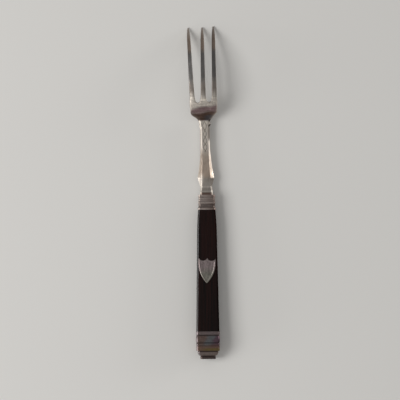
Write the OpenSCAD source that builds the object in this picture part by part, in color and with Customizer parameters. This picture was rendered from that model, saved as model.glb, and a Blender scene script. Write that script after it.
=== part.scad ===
// Old three-tined table fork, lying face down as it comes to rest: the points of the tines and the
// butt of the handle touch the table, and the back of the palm is arched up.
// It is drawn in the handle's own frame first. There y = 0 is where the neck meets the ferrule, +y
// runs to the points, z = 0 is the middle of the handle's thickness and +z is the side that shows.
// At the end lay_down() tips it onto the table and centres it.

/* [Tines] */
// Length of the longest tine, from the centre of the round between two tines
tine_len = 44.5; // [36:0.5:52]
// Distance between the middles of two tines where they leave the palm
tine_pitch = 6.66; // [5.8:0.02:8]
// Width of a tine where it leaves the palm
tine_root_w = 3.8; // [3:0.1:4.4]
// Width of a tine where its point begins
tine_neck_w = 2.1; // [1.4:0.1:2.8]
// Thickness of a tine where its point begins
tine_neck_t = 2.3; // [1.4:0.1:3]
// Length of the point
point_len = 10; // [5:0.5:16]
// Width of the worn end of the point
tip_w = 0.6; // [0.3:0.05:1]
// Thickness of the worn end of the point
tip_t = 0.9; // [0.4:0.05:1.4]
// Bevel along the edges of the tines
tine_bevel = 0.45; // [0.2:0.05:0.6]
// How far the bent tine leans outward, in degrees
bent_tine_lean = 2.8; // [0:0.1:4]
// How far the other two lean the same way, in degrees
tine_lean = 0.5; // [0:0.1:2]

/* [Palm] */
// Radius of the back along the tines
bow_r = 73; // [60:1:110]
// Radius of the back over the palm
palm_r = 16; // [12:0.5:18]
// Slope of the back between the palm and the shank, in degrees
palm_slope = 50; // [30:1:56]
// Height of the back's highest place above the middle of the handle
arch_h = 10.6; // [8.5:0.1:13]
// Distance from the back's highest place to the root of the tines
arch_ahead = 2.8; // [1:0.1:5]
// Thickness of the palm
palm_t = 2.7; // [2:0.1:3.6]
// Roundness of the underside where the slope meets the shank
heel_round = 1.2; // [0.4:0.1:2]
// Width across the palm's slanting shoulders, where they end
shoulder_w = 15.5; // [13:0.1:16]
// Length of the slanting shoulders
shoulder_len = 4.4; // [3:0.1:5]
// Width of the foot of the palm, where the shoulders begin
palm_foot_w = 7.5; // [6.8:0.1:9]
// Sideways offset of the bent head from the handle's middle line
head_offset = 1.43; // [0:0.01:2.5]

/* [Shank] */
// Distance from the ferrule to the root of the tines
root_y = 56.7; // [53:0.1:66]
// Width of the shank
shank_w = 5.7; // [4.5:0.1:6.5]
// Thickness of the shank
shank_t = 4.1; // [3:0.1:5]
// Width of the small collar under the palm
collar_w = 7; // [6.6:0.1:8]
// Length of the small collar
collar_len = 3; // [2:0.1:4]
// Width of the shank's widest shoulder
knop_w = 9.95; // [8:0.05:12]
// Thickness of the shank at that shoulder
knop_t = 5.6; // [4.4:0.1:6.4]
// Distance of that shoulder from the ferrule
knop_y = 10.2; // [8:0.1:12]
// Length over which the shank flares out to that shoulder
flare_len = 18.8; // [12:0.1:22]
// Width of the waist behind that shoulder
waist_w = 6.9; // [6:0.1:8]
// Distance of the waist from the ferrule
waist_y = 5; // [3.5:0.1:6.5]
// Width of the neck's foot on the ferrule
neck_w = 7.5; // [6:0.1:9]
// Thickness of the neck's foot and of the waist
neck_t = 4.6; // [3.6:0.1:5.4]
// Length of the neck's straight foot
neck_foot = 1.6; // [1:0.1:2.5]
// Bevel along the edges of the shank and palm, seen from above
shank_bevel = 0.87; // [0.4:0.01:1.2]
// Bevel at the widest shoulder, seen from above
knop_bevel = 2.4; // [1.2:0.1:3]

/* [Tang] */
// Length of the tang behind the neck
tang_len = 60; // [45:1:66]
// Diameter of the tang at the neck
tang_d = 3.8; // [3:0.1:4]
// Diameter of the tang's end
tang_end_d = 2.4; // [1.6:0.1:3]
// Gap round the tang in its bore, which the cement fills
cement_gap = 0.25; // [0.15:0.05:0.4]
// Depth of the bore past the end of the tang
bore_extra = 2; // [1:0.5:4]

/* [Ferrule] */
// Width of the ferrule between its ribs, at the neck
ferrule_front_w = 9.5; // [9:0.05:10.5]
// Width of the ferrule between its ribs, at the wood
ferrule_back_w = 10.2; // [9.8:0.05:11]
// Thickness of the ferrule between its ribs, at the neck
ferrule_front_t = 6.4; // [6.2:0.05:7]
// Thickness of the ferrule between its ribs, at the wood
ferrule_back_t = 6.6; // [6.4:0.05:7.2]
// Length of the lip at each end of the ferrule
ferrule_lip = 1.3; // [0.8:0.1:1.8]
// Height of the lips
lip_h = 0.3; // [0.15:0.05:0.4]
// Length of a thin rib
thin_rib = 0.7; // [0.4:0.05:1]
// Height of a thin rib
thin_rib_h = 0.2; // [0.1:0.05:0.3]
// Length of the bold rib
bold_rib = 1.3; // [0.8:0.1:1.8]
// Height of the bold rib
bold_rib_h = 0.4; // [0.2:0.05:0.6]
// Length of the hollow between the bold rib and the back lip
cove_len = 1.9; // [1:0.1:3]
// Depth of that hollow
cove_depth = 0.12; // [0.05:0.01:0.2]
// Space between two ribs
rib_gap = 0.45; // [0.2:0.05:0.6]
// Thickness of the ferrule's and the cap's metal
metal_t = 0.5; // [0.3:0.05:0.6]

/* [Handle] */
// Length of wood that shows between the ferrule and the cap
grip_len = 73; // [60:0.5:90]
// Width of the grip at the ferrule, on the line of its taper
grip_front_w = 11.5; // [10.8:0.1:12.5]
// Width of the grip at the cap
grip_back_w = 13.9; // [13:0.1:15]
// Thickness of the grip at the ferrule
grip_front_t = 7.2; // [7:0.1:8]
// Thickness of the grip at the cap
grip_back_t = 10; // [9:0.1:11]
// How much the grip is drawn in on each side where it meets the ferrule
grip_nose = 0.5; // [0:0.05:0.8]
// Length over which it is drawn in
grip_nose_len = 15; // [8:0.5:25]
// Bevel along the grip's edges
grip_bevel = 0.9; // [0.4:0.05:1.4]
// Gap between the wood and the metal round it
fit_gap = 0.05; // [0.02:0.01:0.15]

/* [Shield] */
// Width of the shield
shield_w = 10.4; // [9:0.1:10.6]
// Length of the shield's straight side
shield_side = 3.4; // [2:0.1:5]
// Radius of its curved sides
shield_r = 17.4; // [12:0.1:24]
// Depth of the two hollows in its top edge
scallop = 1.8; // [0.8:0.1:2]
// Distance from the ferrule's front to the shield's top edge
shield_y = 37.6; // [30:0.1:50]
// Sideways offset of the shield
shield_x = 0.1; // [-0.1:0.05:0.2]
// Turn of the shield, in degrees
shield_turn = 1.2; // [0:0.1:2]
// Thickness of the shield
shield_t = 0.9; // [0.5:0.05:1.5]
// How far the shield stands above the wood
shield_proud = 0.25; // [0.1:0.05:0.4]
// Bevel round the shield's face
shield_bevel = 0.35; // [0.15:0.05:0.5]
// Diameter of the pins on the shield's back
pin_d = 1; // [0.6:0.1:1.6]
// Length of those pins
pin_len = 0.9; // [0.5:0.1:1]
// Distance between those pins
pin_pitch = 6; // [3:0.5:8]

/* [Cap] */
// Width of the cap's body
cap_w = 14; // [13.6:0.1:15]
// Thickness of the cap's body
cap_t = 10.2; // [10:0.1:11]
// Length of the flange at the cap's front
flange_len = 2.1; // [1.2:0.1:2.6]
// Length of the cap's rounded body
cap_body = 3.9; // [3:0.1:6]
// Length of the rib round the cap's middle
cap_rib = 1.2; // [0.5:0.1:1.8]
// Length of the cap's plain band
cap_band = 2.8; // [1.5:0.1:4]
// Length of the sloping step near the end
step_len = 2.4; // [1.5:0.1:4]
// How far that step stands in from the body
step_in = 0.8; // [0.4:0.1:1.4]
// Length of the small end step
end_len = 1.4; // [0.8:0.1:2.5]
// How far the end step stands in from the body
end_in = 2.1; // [1.6:0.1:2.6]
// Length of the grooves between the bands
groove_len = 0.55; // [0.3:0.05:0.8]
// Depth of those grooves
groove_h = 0.2; // [0.1:0.05:0.3]
// How much the cap's body swells in its middle
body_swell = 0.2; // [0:0.05:0.3]
// How much the cap's flange, rib and step stand out
rib_swell = 0.1; // [0:0.05:0.2]

/* [Hidden] */
$fn = 48;
// How much shorter than the longest tine each one is worn
tine_wear = [0.7, 0.5, 0];
// Lean of each tine, with +x to the right
leans = [-bent_tine_lean, -tine_lean, -tine_lean];
// How full the outline of a point is, and how late a tine widens toward its root
point_fullness = 2.4;
root_flare = 1.5;
// How late the shank flares out toward its widest shoulder
knop_flare = 1.7;
// Depth of a bevel on the palm and the tines, as a share of its width from above
bevel_depth = 0.9;
// Largest share of a tine's width that one bevel takes
bevel_share = 0.35;
// Smallest share of the shank's thickness that its upright edge keeps
edge_share = 0.25;
// How closely a point's sections crowd toward its end
point_crowd = 1.5;
// How far the shield's pins run into it, so that they are one piece with it
pin_root = 0.1;
// How many of the cap's bands the wood's tenon runs under
hollow_bands = 7;
point_steps = 8;
tine_steps = 12;
arch_steps = 12;
flare_steps = 8;
band_steps = 6;
nose_steps = 5;
arc_steps = 12;
// A cutting tool reaches this far past what it cuts
past = 1;

function lerp(a, b, u) = a + (b - a) * u;
function drop(r, run) = r - sqrt(r * r - run * run);
function total(list) = len(list) == 0 ? 0 : list * [for (x = list) 1];
function distinct(list) = [for (i = [0 : len(list) - 1])
    if (i == 0 || norm(list[i] - list[i - 1]) > 0.001) list[i]];

// Back of the fork, seen from the side: shank, slope, arch over the palm, long bow of the tines
arch_y = root_y + arch_ahead;
slope_y = arch_y - palm_r * sin(palm_slope);
slope_z = arch_h - drop(palm_r, arch_y - slope_y);
crease_y = slope_y - (slope_z - shank_t / 2) / tan(palm_slope);
shoulder_y = crease_y + shoulder_len;
collar_y = crease_y - collar_len;
function back_z(y) =
    y > arch_y ? arch_h - drop(bow_r, y - arch_y)
    : y > slope_y ? arch_h - drop(palm_r, arch_y - y)
    : slope_z - (slope_y - y) * tan(palm_slope);

// Middle line of the shank and palm, which leans to one side of the handle
function head_x(y) = -head_offset * y / root_y;

// Eight corners of a bevelled section across the fork at y
function section(x, y, half_w, bevel, lo, hi, side) = [
    [x - half_w, y, (lo + hi) / 2 - side],
    [x - half_w, y, (lo + hi) / 2 + side],
    [x - half_w + bevel, y, hi],
    [x + half_w - bevel, y, hi],
    [x + half_w, y, (lo + hi) / 2 + side],
    [x + half_w, y, (lo + hi) / 2 - side],
    [x + half_w - bevel, y, lo],
    [x - half_w + bevel, y, lo]
];

// Section of the handle, ferrule or cap, centred on the handle's axis
function bar_section(y, half_w, half_t, bevel) =
    section(0, y, half_w, bevel, -half_t, half_t, half_t - bevel);

// Solid through a row of rings with the same number of points, closed by flat ends
module loft(rings) {
    n = len(rings[0]);
    last = (len(rings) - 1) * n;
    walls = [for (i = [0 : len(rings) - 2], k = [0 : n - 1])
        let (a = i * n + k, b = i * n + (k + 1) % n)
        each [[a, b + n, b], [a, a + n, b + n]]];
    near = [[for (k = [0 : n - 1]) k]];
    far = [[for (k = [n - 1 : -1 : 0]) last + k]];
    polyhedron(points = [for (r = rings) each r], faces = concat(walls, near, far), convexity = 8);
}

// Underside: the shank's and the palm's, run into each other in a soft bend
function under_z(y, t) =
    let (
        rise = back_z(y) - t + shank_t / 2,
        soft = heel_round * min(1, (root_y - y) / (root_y - crease_y))
    )
    -shank_t / 2 + (rise + sqrt(rise * rise + soft * soft)) / 2;

// Steel head: sections of the shank and palm, from the ferrule to the root of the tines
function shank_section(y, w, t, bevel) =
    section(head_x(y), y, w / 2, bevel, -t / 2, t / 2, max(t / 2 - bevel, edge_share * t / 2));
function collar_section(y, w) =
    let (lo = under_z(y, shank_t), hi = shank_t / 2)
    section(head_x(y), y, w / 2, shank_bevel, lo, hi, (hi - lo) / 2 - shank_bevel);
function palm_half_w(y) =
    y < shoulder_y
    ? lerp(palm_foot_w, shoulder_w, (y - crease_y) / shoulder_len) / 2
    : lerp(shoulder_w / 2, tine_pitch + tine_root_w / 2, sin(90 * (y - shoulder_y) / (root_y - shoulder_y)));
function palm_section(y) =
    let (
        u = (y - crease_y) / (root_y - crease_y),
        t = lerp(shank_t, palm_t, sin(90 * u)),
        bevel = lerp(shank_bevel, tine_bevel, u)
    )
    section(head_x(y), y, palm_half_w(y), bevel, under_z(y, t), back_z(y), t / 2 - bevel * bevel_depth);
flare_y = knop_y + flare_len;
shank_rings = concat(
    [
        shank_section(0, neck_w, neck_t, shank_bevel),
        shank_section(neck_foot, neck_w, neck_t, shank_bevel),
        shank_section(waist_y, waist_w, neck_t, shank_bevel)
    ],
    [for (i = [0 : flare_steps])
        let (
            u = 1 - i / flare_steps,
            full = pow(u, knop_flare)
        )
        shank_section(
            knop_y + flare_len * (1 - u),
            lerp(shank_w, knop_w, full),
            lerp(shank_t, knop_t, full),
            lerp(shank_bevel, knop_bevel, full)
        )],
    [
        collar_section(collar_y - (collar_w - shank_w) / 2, shank_w),
        collar_section(collar_y, collar_w),
        collar_section((collar_y + crease_y) / 2, collar_w),
        collar_section(crease_y - (palm_foot_w - collar_w), collar_w)
    ],
    [for (i = [0 : arch_steps]) palm_section(lerp(crease_y, shoulder_y, i / arch_steps))],
    [for (i = [1 : arch_steps]) palm_section(lerp(shoulder_y, root_y, i / arch_steps))]
);

// One tine. Its back keeps the same bow whatever its length, so all the points reach the table.
function tine_x(k) = head_x(root_y) + (k - 1) * tine_pitch;
function point_u(ahead) = 1 - pow(1 - ahead / point_len, point_fullness);
function tine_size(ahead, length, root, neck, tip) =
    ahead < point_len
    ? lerp(tip, neck, point_u(ahead))
    : lerp(neck, root, pow((ahead - point_len) / (length - point_len), root_flare));
function tine_section(k, ahead) =
    let (
        length = tine_len - tine_wear[k],
        run = length - ahead,
        z = back_z(root_y + run * tine_len / length),
        w = tine_size(ahead, length, tine_root_w, tine_neck_w, tip_w),
        t = tine_size(ahead, length, palm_t, tine_neck_t, tip_t),
        bevel = min(tine_bevel, bevel_share * w)
    )
    section(tine_x(k) + run * tan(leans[k]), root_y + run, w / 2, bevel, z - t, z,
        t / 2 - bevel * bevel_depth);
function tine_rings(k) =
    let (length = tine_len - tine_wear[k])
    concat(
        [for (i = [0 : tine_steps - 1]) tine_section(k, lerp(length, point_len, i / tine_steps))],
        [for (i = [0 : point_steps]) tine_section(k, point_len * pow(1 - i / point_steps, point_crowd))]
    );

// Round bottom of the gap between two tines, bevelled above and below
gap_r = (tine_pitch - tine_root_w) / 2;
module gap_round(k) {
    hi = back_z(root_y);
    lo = hi - palm_t;
    translate([tine_x(k) + tine_pitch / 2, root_y, 0])
        rotate_extrude()
            polygon([
                [0, lo - past],
                [gap_r + tine_bevel, lo - past],
                [gap_r + tine_bevel, lo],
                [gap_r, lo + tine_bevel],
                [gap_r, hi - tine_bevel],
                [gap_r + tine_bevel, hi],
                [gap_r + tine_bevel, hi + past],
                [0, hi + past]
            ]);
}

module tang() {
    rotate([90, 0, 0])
        cylinder(h = tang_len, d1 = tang_d, d2 = tang_end_d);
}

module steel_head() {
    color("silver")
        lay_down() {
            difference() {
                loft(shank_rings);
                gap_round(0);
                gap_round(1);
            }
            for (k = [0 : 2]) loft(tine_rings(k));
            tang();
        }
}

// Mouldings: each band is [length, height at its start, height at its end, bulge between them]
function band_profile(bands) = distinct([for (i = [0 : len(bands) - 1])
    let (
        from = total([for (j = [0 : 1 : i - 1]) bands[j][0]]),
        b = bands[i],
        steps = b[3] == 0 ? 1 : band_steps
    )
    for (s = [0 : steps])
        let (u = s / steps)
        [from + b[0] * u, lerp(b[1], b[2], u) + b[3] * sin(180 * u)]]);
function moulded(profile, length, y, front_w, back_w, front_t, back_t, bevel) =
    [for (i = [len(profile) - 1 : -1 : 0])
        let (
            u = profile[i][0] / length,
            h = profile[i][1]
        )
        bar_section(
            y - profile[i][0],
            lerp(front_w, back_w, u) / 2 + h,
            lerp(front_t, back_t, u) / 2 + h,
            bevel
        )];

ferrule_bands = [
    [ferrule_lip, lip_h, lip_h, 0],
    [rib_gap, 0, 0, 0],
    [thin_rib, 0, 0, thin_rib_h],
    [rib_gap, 0, 0, 0],
    [thin_rib, 0, 0, thin_rib_h],
    [rib_gap, 0, 0, 0],
    [bold_rib, 0, 0, bold_rib_h],
    [rib_gap, 0, 0, 0],
    [cove_len, 0, 0, -cove_depth],
    [ferrule_lip, lip_h, lip_h, 0]
];
ferrule_len = total([for (b = ferrule_bands) b[0]]);
ferrule_rings = moulded(
    band_profile(ferrule_bands), ferrule_len, 0,
    ferrule_front_w, ferrule_back_w, ferrule_front_t, ferrule_back_t, grip_bevel
);

cap_bands = [
    [flange_len, rib_swell, rib_swell, 0],
    [groove_len, -groove_h, -groove_h, 0],
    [cap_body, 0, 0, body_swell],
    [groove_len, -groove_h, -groove_h, 0],
    [cap_rib, 0, 0, rib_swell],
    [groove_len, -groove_h, -groove_h, 0],
    [cap_band, 0, 0, 0],
    [groove_len, -step_in - groove_h, -step_in - groove_h, 0],
    [step_len, -step_in, -(step_in + end_in) / 2, rib_swell],
    [groove_len, -end_in - groove_h, -end_in - groove_h, 0],
    [end_len, -end_in, -end_in - groove_h, 0]
];
cap_len = total([for (b = cap_bands) b[0]]);
sleeve_len = total([for (i = [0 : hollow_bands - 1]) cap_bands[i][0]]) - metal_t;
cap_y = -ferrule_len - grip_len;
cap_rings = moulded(band_profile(cap_bands), cap_len, cap_y, cap_w, cap_w, cap_t, cap_t, grip_bevel);

// Inside of the ferrule and the cap, with the wood's tenons in them
ferrule_in_w = ferrule_front_w - 2 * metal_t;
ferrule_in_t = ferrule_front_t - 2 * metal_t;
cap_in_w = cap_w - 2 * (groove_h + metal_t);
cap_in_t = cap_t - 2 * (groove_h + metal_t);
module bar(y0, y1, w, t, bevel) {
    loft([bar_section(y0, w / 2, t / 2, bevel), bar_section(y1, w / 2, t / 2, bevel)]);
}

module front_ferrule() {
    color("rosybrown")
        lay_down() difference() {
            loft(ferrule_rings);
            bar(-ferrule_len - past, -metal_t, ferrule_in_w, ferrule_in_t, grip_bevel - metal_t);
            translate([0, past, 0]) rotate([90, 0, 0])
                cylinder(h = metal_t + 2 * past, d = tang_d + 2 * fit_gap);
        }
}

module end_cap() {
    color("rosybrown")
        lay_down() difference() {
            loft(cap_rings);
            bar(cap_y - sleeve_len, cap_y + past, cap_in_w, cap_in_t, grip_bevel - metal_t);
        }
}

// Bore of the handle, and the cement that fills it round the tang
bore_r = tang_d / 2 + cement_gap;
bore_front = -metal_t - fit_gap;
bore_len = tang_len + bore_extra + bore_front;
module bore(ahead = 0) {
    translate([0, bore_front + ahead, 0]) rotate([90, 0, 0])
        cylinder(h = bore_len + ahead, r = bore_r);
}

module tang_cement() {
    color("sienna")
        lay_down() difference() {
            bore();
            tang();
        }
}

// Grip: a straight taper, drawn in a little toward the ferrule
function grip_u(y) = (-ferrule_len - y) / grip_len;
function grip_half_w(y) =
    lerp(grip_front_w, grip_back_w, grip_u(y)) / 2
    - grip_nose * pow(max(0, 1 - grip_u(y) * grip_len / grip_nose_len), 2);
function grip_half_t(y) = lerp(grip_front_t, grip_back_t, grip_u(y)) / 2;
grip_rings = [for (y = concat(
        [cap_y],
        [for (i = [nose_steps : -1 : 0]) -ferrule_len - grip_nose_len * i / nose_steps]
    ))
    bar_section(y, grip_half_w(y), grip_half_t(y), grip_bevel)];

module wooden_handle() {
    color("black")
        lay_down() difference() {
            union() {
                loft(grip_rings);
                bar(
                    -ferrule_len - past, bore_front,
                    ferrule_in_w - 2 * fit_gap, ferrule_in_t - 2 * fit_gap, grip_bevel - metal_t
                );
                bar(
                    cap_y - sleeve_len + fit_gap, cap_y + past,
                    cap_in_w - 2 * fit_gap, cap_in_t - 2 * fit_gap, grip_bevel - metal_t
                );
            }
            bore(past);
            on_grip() {
                loft([shield_ring(fit_gap, -shield_t), shield_ring(fit_gap, past)]);
                pins(pin_d + 2 * fit_gap, fit_gap);
            }
        }
}

// Shield: straight upper sides, round lower sides, a middle peak between two round hollows
function shield_ring(grow, z) =
    let (
        half = shield_w / 2 + grow,
        side_r = shield_r + grow,
        side_a = acos((side_r - half) / side_r),
        middle = shield_w / 4,
        full_r = (middle * middle + scallop * scallop) / (2 * scallop),
        hollow_r = full_r - grow,
        corner_a = asin(min(1, (half - middle) / hollow_r)),
        peak_a = -asin(min(1, middle / hollow_r)),
        side = [for (i = [0 : arc_steps])
            let (a = side_a * (1 - i / arc_steps))
            [half - side_r + side_r * cos(a), -shield_side - side_r * sin(a)]],
        hollow = [for (i = [0 : arc_steps])
            let (a = lerp(corner_a, peak_a, i / arc_steps))
            [middle + hollow_r * sin(a), full_r - scallop - hollow_r * cos(a)]],
        half_outline = concat(side, hollow),
        n = len(half_outline)
    )
    concat(
        [for (p = half_outline) [p.x, p.y, z]],
        [for (i = [n - 2 : -1 : 1]) [-half_outline[i].x, half_outline[i].y, z]]
    );
grip_tilt = atan((grip_back_t - grip_front_t) / 2 / grip_len);
module on_grip() {
    translate([shield_x, -shield_y, grip_half_t(-shield_y)])
        rotate([-grip_tilt, 0, 0])
            rotate([0, 0, -shield_turn])
                children();
}
module pins(d, deeper = 0) {
    for (end = [-0.5, 0.5])
        translate([0, -shield_side - pin_pitch / 2 + end * pin_pitch, -shield_t - pin_len - deeper])
            cylinder(h = pin_len + deeper + pin_root, d = d);
}

module shield_inlay() {
    color("gainsboro")
        lay_down() on_grip() {
            loft([
                shield_ring(0, -shield_t),
                shield_ring(0, shield_proud - shield_bevel / 2),
                shield_ring(-shield_bevel, shield_proud)
            ]);
            pins(pin_d);
        }
}

// Rest: tipped until the points and the handle's lowest place are level, then centred
head_points = concat(
    [for (r = shank_rings) each r],
    [for (k = [0 : 2], r = tine_rings(k)) each r]
);
handle_points = [for (r = concat(ferrule_rings, grip_rings, cap_rings)) each r];
tip_y = root_y + tine_len;
tip_z = back_z(tip_y) - tip_t;
rest_tilt = atan(max([for (p = handle_points) (tip_z - p.z) / (tip_y - p.y)]));
function tipped(p) = [
    p.x,
    p.y * cos(rest_tilt) + p.z * sin(rest_tilt),
    p.z * cos(rest_tilt) - p.y * sin(rest_tilt)
];
rest_points = [for (p = concat(head_points, handle_points)) tipped(p)];
function span_lo(k) = min([for (p = rest_points) p[k]]);
function span_hi(k) = max([for (p = rest_points) p[k]]);
module lay_down() {
    translate([-(span_lo(0) + span_hi(0)) / 2, -(span_lo(1) + span_hi(1)) / 2, -span_lo(2)])
        rotate([-rest_tilt, 0, 0])
            children();
}

steel_head();
tang_cement();
front_ferrule();
wooden_handle();
shield_inlay();
end_cap();
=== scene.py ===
"""Looks of an old three-tined table fork that lies face down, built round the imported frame."""

import math
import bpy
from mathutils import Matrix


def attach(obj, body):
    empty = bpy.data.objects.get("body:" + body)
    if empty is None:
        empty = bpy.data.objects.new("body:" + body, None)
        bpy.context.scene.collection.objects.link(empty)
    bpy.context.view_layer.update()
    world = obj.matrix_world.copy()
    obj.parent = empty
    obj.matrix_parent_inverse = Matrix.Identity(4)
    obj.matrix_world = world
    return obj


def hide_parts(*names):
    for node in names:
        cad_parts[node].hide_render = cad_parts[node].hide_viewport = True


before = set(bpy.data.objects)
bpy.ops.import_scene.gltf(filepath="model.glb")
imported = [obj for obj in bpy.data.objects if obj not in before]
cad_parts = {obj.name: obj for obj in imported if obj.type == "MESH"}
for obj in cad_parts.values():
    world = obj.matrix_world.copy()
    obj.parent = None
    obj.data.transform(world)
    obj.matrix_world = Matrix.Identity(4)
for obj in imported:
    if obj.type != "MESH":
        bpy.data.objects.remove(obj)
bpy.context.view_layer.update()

from types import SimpleNamespace

import bmesh
import bpy
import numpy as np
from bpy.props import FloatProperty, FloatVectorProperty, PointerProperty
from mathutils import Vector
from mathutils.geometry import delaunay_2d_cdt

bl_info = {
    "name": "Table fork",
    "version": (1, 0, 0),
    "blender": (4, 5, 0),
    "location": "View3D > Sidebar > Fork",
    "description": "Builds an old three-tined table fork with a dark wood handle",
    "category": "Add Mesh",
}

MM = 0.001

# How the handle's own frame lies on the table: its tilt and its place, in millimetres
REST_TILT = math.radians(0.584997)
REST_PLACE = (1.85197, -1.29796, 4.41554)


# Sizes and colours that a user may change

def length(name, description, millimetres):
    """A length property, given in millimetres and kept in metres."""
    return FloatProperty(
        name=name, description=description, default=millimetres * MM, unit="LENGTH", precision=5
    )


def colour(name, description, code):
    """A colour property, given as an sRGB hex code and kept linear."""
    return FloatVectorProperty(
        name=name, description=description, default=linear(code), subtype="COLOR", size=4, min=0, max=1
    )


def linear(code):
    """Turns an sRGB hex code into a linear colour with full alpha."""
    parts = [int(code[i : i + 2], 16) / 255 for i in (1, 3, 5)]
    return tuple(c / 12.92 if c <= 0.04045 else ((c + 0.055) / 1.055) ** 2.4 for c in parts) + (1.0,)


class HeadSizes(bpy.types.PropertyGroup):
    """Sizes of the forged steel head, along the handle's axis from the ferrule"""

    tine_len: length("Tine length", "Longest tine, from the middle of the round between two tines", 44.5)
    tine_pitch: length("Tine pitch", "Distance between two tines at their roots", 6.66)
    tine_root_w: length("Tine root", "Width of a tine at its root", 3.8)
    tine_neck_w: length("Tine neck width", "Width of a tine where its point begins", 2.1)
    tine_neck_t: length("Tine neck thickness", "Thickness of a tine where its point begins", 2.3)
    point_len: length("Point length", "Length of the point", 10)
    tip_w: length("Tip width", "Width of the worn end of the point", 0.6)
    tip_t: length("Tip thickness", "Thickness of the worn end of the point", 0.9)
    tine_bevel: length("Tine edge", "Width of the rounding along a tine", 0.5)
    bow_r: length("Bow radius", "Radius of the back along the tines", 73)
    palm_r: length("Palm radius", "Radius of the back over the palm", 16)
    palm_slope: FloatProperty(
        name="Palm slope", description="Slope of the back between palm and shank",
        default=math.radians(50), subtype="ANGLE",
    )
    arch_h: length("Arch height", "Highest place of the back above the handle's middle", 10.6)
    arch_ahead: length("Arch place", "From the highest place to the root of the tines", 2.8)
    palm_t: length("Palm thickness", "Thickness of the palm", 2.7)
    heel_round: length("Heel rounding", "Roundness of the underside where the slope meets the shank", 1.2)
    shoulder_w: length("Shoulder width", "Width across the palm's slanting shoulders", 15.5)
    shoulder_len: length("Shoulder length", "Length of the slanting shoulders", 4.4)
    palm_foot_w: length("Palm foot", "Width where the shoulders begin", 7.5)
    head_offset: length("Head offset", "Sideways lean of the bent head at the root of the tines", 1.43)
    root_y: length("Root place", "From the ferrule to the root of the tines", 56.7)
    shank_w: length("Shank width", "Width of the shank", 5.7)
    shank_t: length("Shank thickness", "Thickness of the shank", 4.1)
    collar_w: length("Collar width", "Width of the small collar under the palm", 6.9)
    collar_len: length("Collar length", "Length of the small collar on its long side", 3.9)
    knop_w: length("Shoulder of the shank", "Width of the shank's widest place", 9.95)
    knop_t: length("Its thickness", "Thickness of the shank there", 5.6)
    knop_y: length("Its place", "From the ferrule to the widest place", 10.2)
    flare_len: length("Flare", "Length over which the shank flares out", 18.8)
    waist_w: length("Waist width", "Width of the waist behind the widest place", 6.9)
    waist_y: length("Waist place", "From the ferrule to the waist", 5)
    neck_w: length("Neck width", "Width of the neck's foot", 7.5)
    neck_t: length("Neck thickness", "Thickness of the neck's foot and of the waist", 4.6)
    neck_foot: length("Neck foot", "Length of the neck's foot", 2.4)
    shank_bevel: length("Shank bevel", "Width of the shank's bevels from above", 0.87)
    knop_bevel: length("Knop bevel", "Width of the bevels at the widest place", 2.4)
    tang_len: length("Tang length", "Length of the tang behind the neck", 60)
    tang_d: length("Tang diameter", "Diameter of the tang at the neck", 3.8)
    tang_end_d: length("Tang end", "Diameter of the tang's end", 2.4)


class MountSizes(bpy.types.PropertyGroup):
    """Sizes of the ferrule and the end cap"""

    ferrule_front_w: length("Ferrule front width", "Width between the ribs at the neck", 9.5)
    ferrule_back_w: length("Ferrule back width", "Width between the ribs at the wood", 10.2)
    ferrule_front_t: length("Ferrule front thickness", "Thickness between the ribs at the neck", 6.4)
    ferrule_back_t: length("Ferrule back thickness", "Thickness between the ribs at the wood", 6.6)
    ferrule_lip: length("Ferrule lip", "Length of the lip at each end", 1.3)
    lip_h: length("Lip height", "Height of the lips", 0.3)
    thin_rib: length("Thin rib", "Length of a thin rib", 0.7)
    thin_rib_h: length("Thin rib height", "Height of a thin rib", 0.2)
    bold_rib: length("Bold rib", "Length of the bold rib", 1.3)
    bold_rib_h: length("Bold rib height", "Height of the bold rib", 0.4)
    cove_len: length("Cove", "Length of the hollow behind the bold rib", 1.9)
    cove_depth: length("Cove depth", "Depth of that hollow", 0.12)
    rib_gap: length("Rib gap", "Space between two ribs", 0.45)
    metal_t: length("Metal", "Thickness of the metal", 0.5)
    cap_w: length("Cap width", "Width of the cap's body", 14)
    cap_t: length("Cap thickness", "Thickness of the cap's body", 10.2)
    flange_len: length("Flange", "Length of the flange", 2.1)
    cap_body: length("Cap body", "Length of the rounded body", 3.9)
    cap_rib: length("Cap rib", "Length of the rib", 1.2)
    cap_band: length("Cap band", "Length of the plain band", 2.8)
    step_len: length("Step length", "Length of the sloping step", 2.4)
    step_in: length("Step in", "How far the sloping step stands in", 0.8)
    end_len: length("End length", "Length of the end step", 1.4)
    end_in: length("End in", "How far the end step stands in", 2.1)
    groove_len: length("Groove", "Length of the grooves", 0.55)
    groove_h: length("Groove depth", "Depth of the grooves", 0.2)
    body_swell: length("Body swell", "How much the body swells", 0.2)
    rib_swell: length("Rib swell", "How much flange, rib and step stand out", 0.1)


class GripSizes(bpy.types.PropertyGroup):
    """Sizes of the wooden grip"""

    grip_len: length("Grip length", "Wood between the ferrule and the cap", 73)
    grip_front_w: length("Front width", "Width at the ferrule, on the line of the taper", 11.5)
    grip_back_w: length("Back width", "Width at the cap", 13.9)
    grip_front_t: length("Front thickness", "Thickness at the ferrule", 7.2)
    grip_back_t: length("Back thickness", "Thickness at the cap", 10)
    grip_nose: length("Nose", "How much it is drawn in on each side at the ferrule", 0.5)
    grip_nose_len: length("Nose length", "Length over which it is drawn in", 15)
    grip_bevel: length("Bevel", "Bevel along the edges", 0.9)
    fit_gap: length("Fit", "Gap between the wood and the metal round it", 0.05)
    bore_d: length("Bore", "Diameter of the bore for the tang", 4.3)
    bore_len: length("Bore depth", "Depth of the bore", 61.45)


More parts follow.
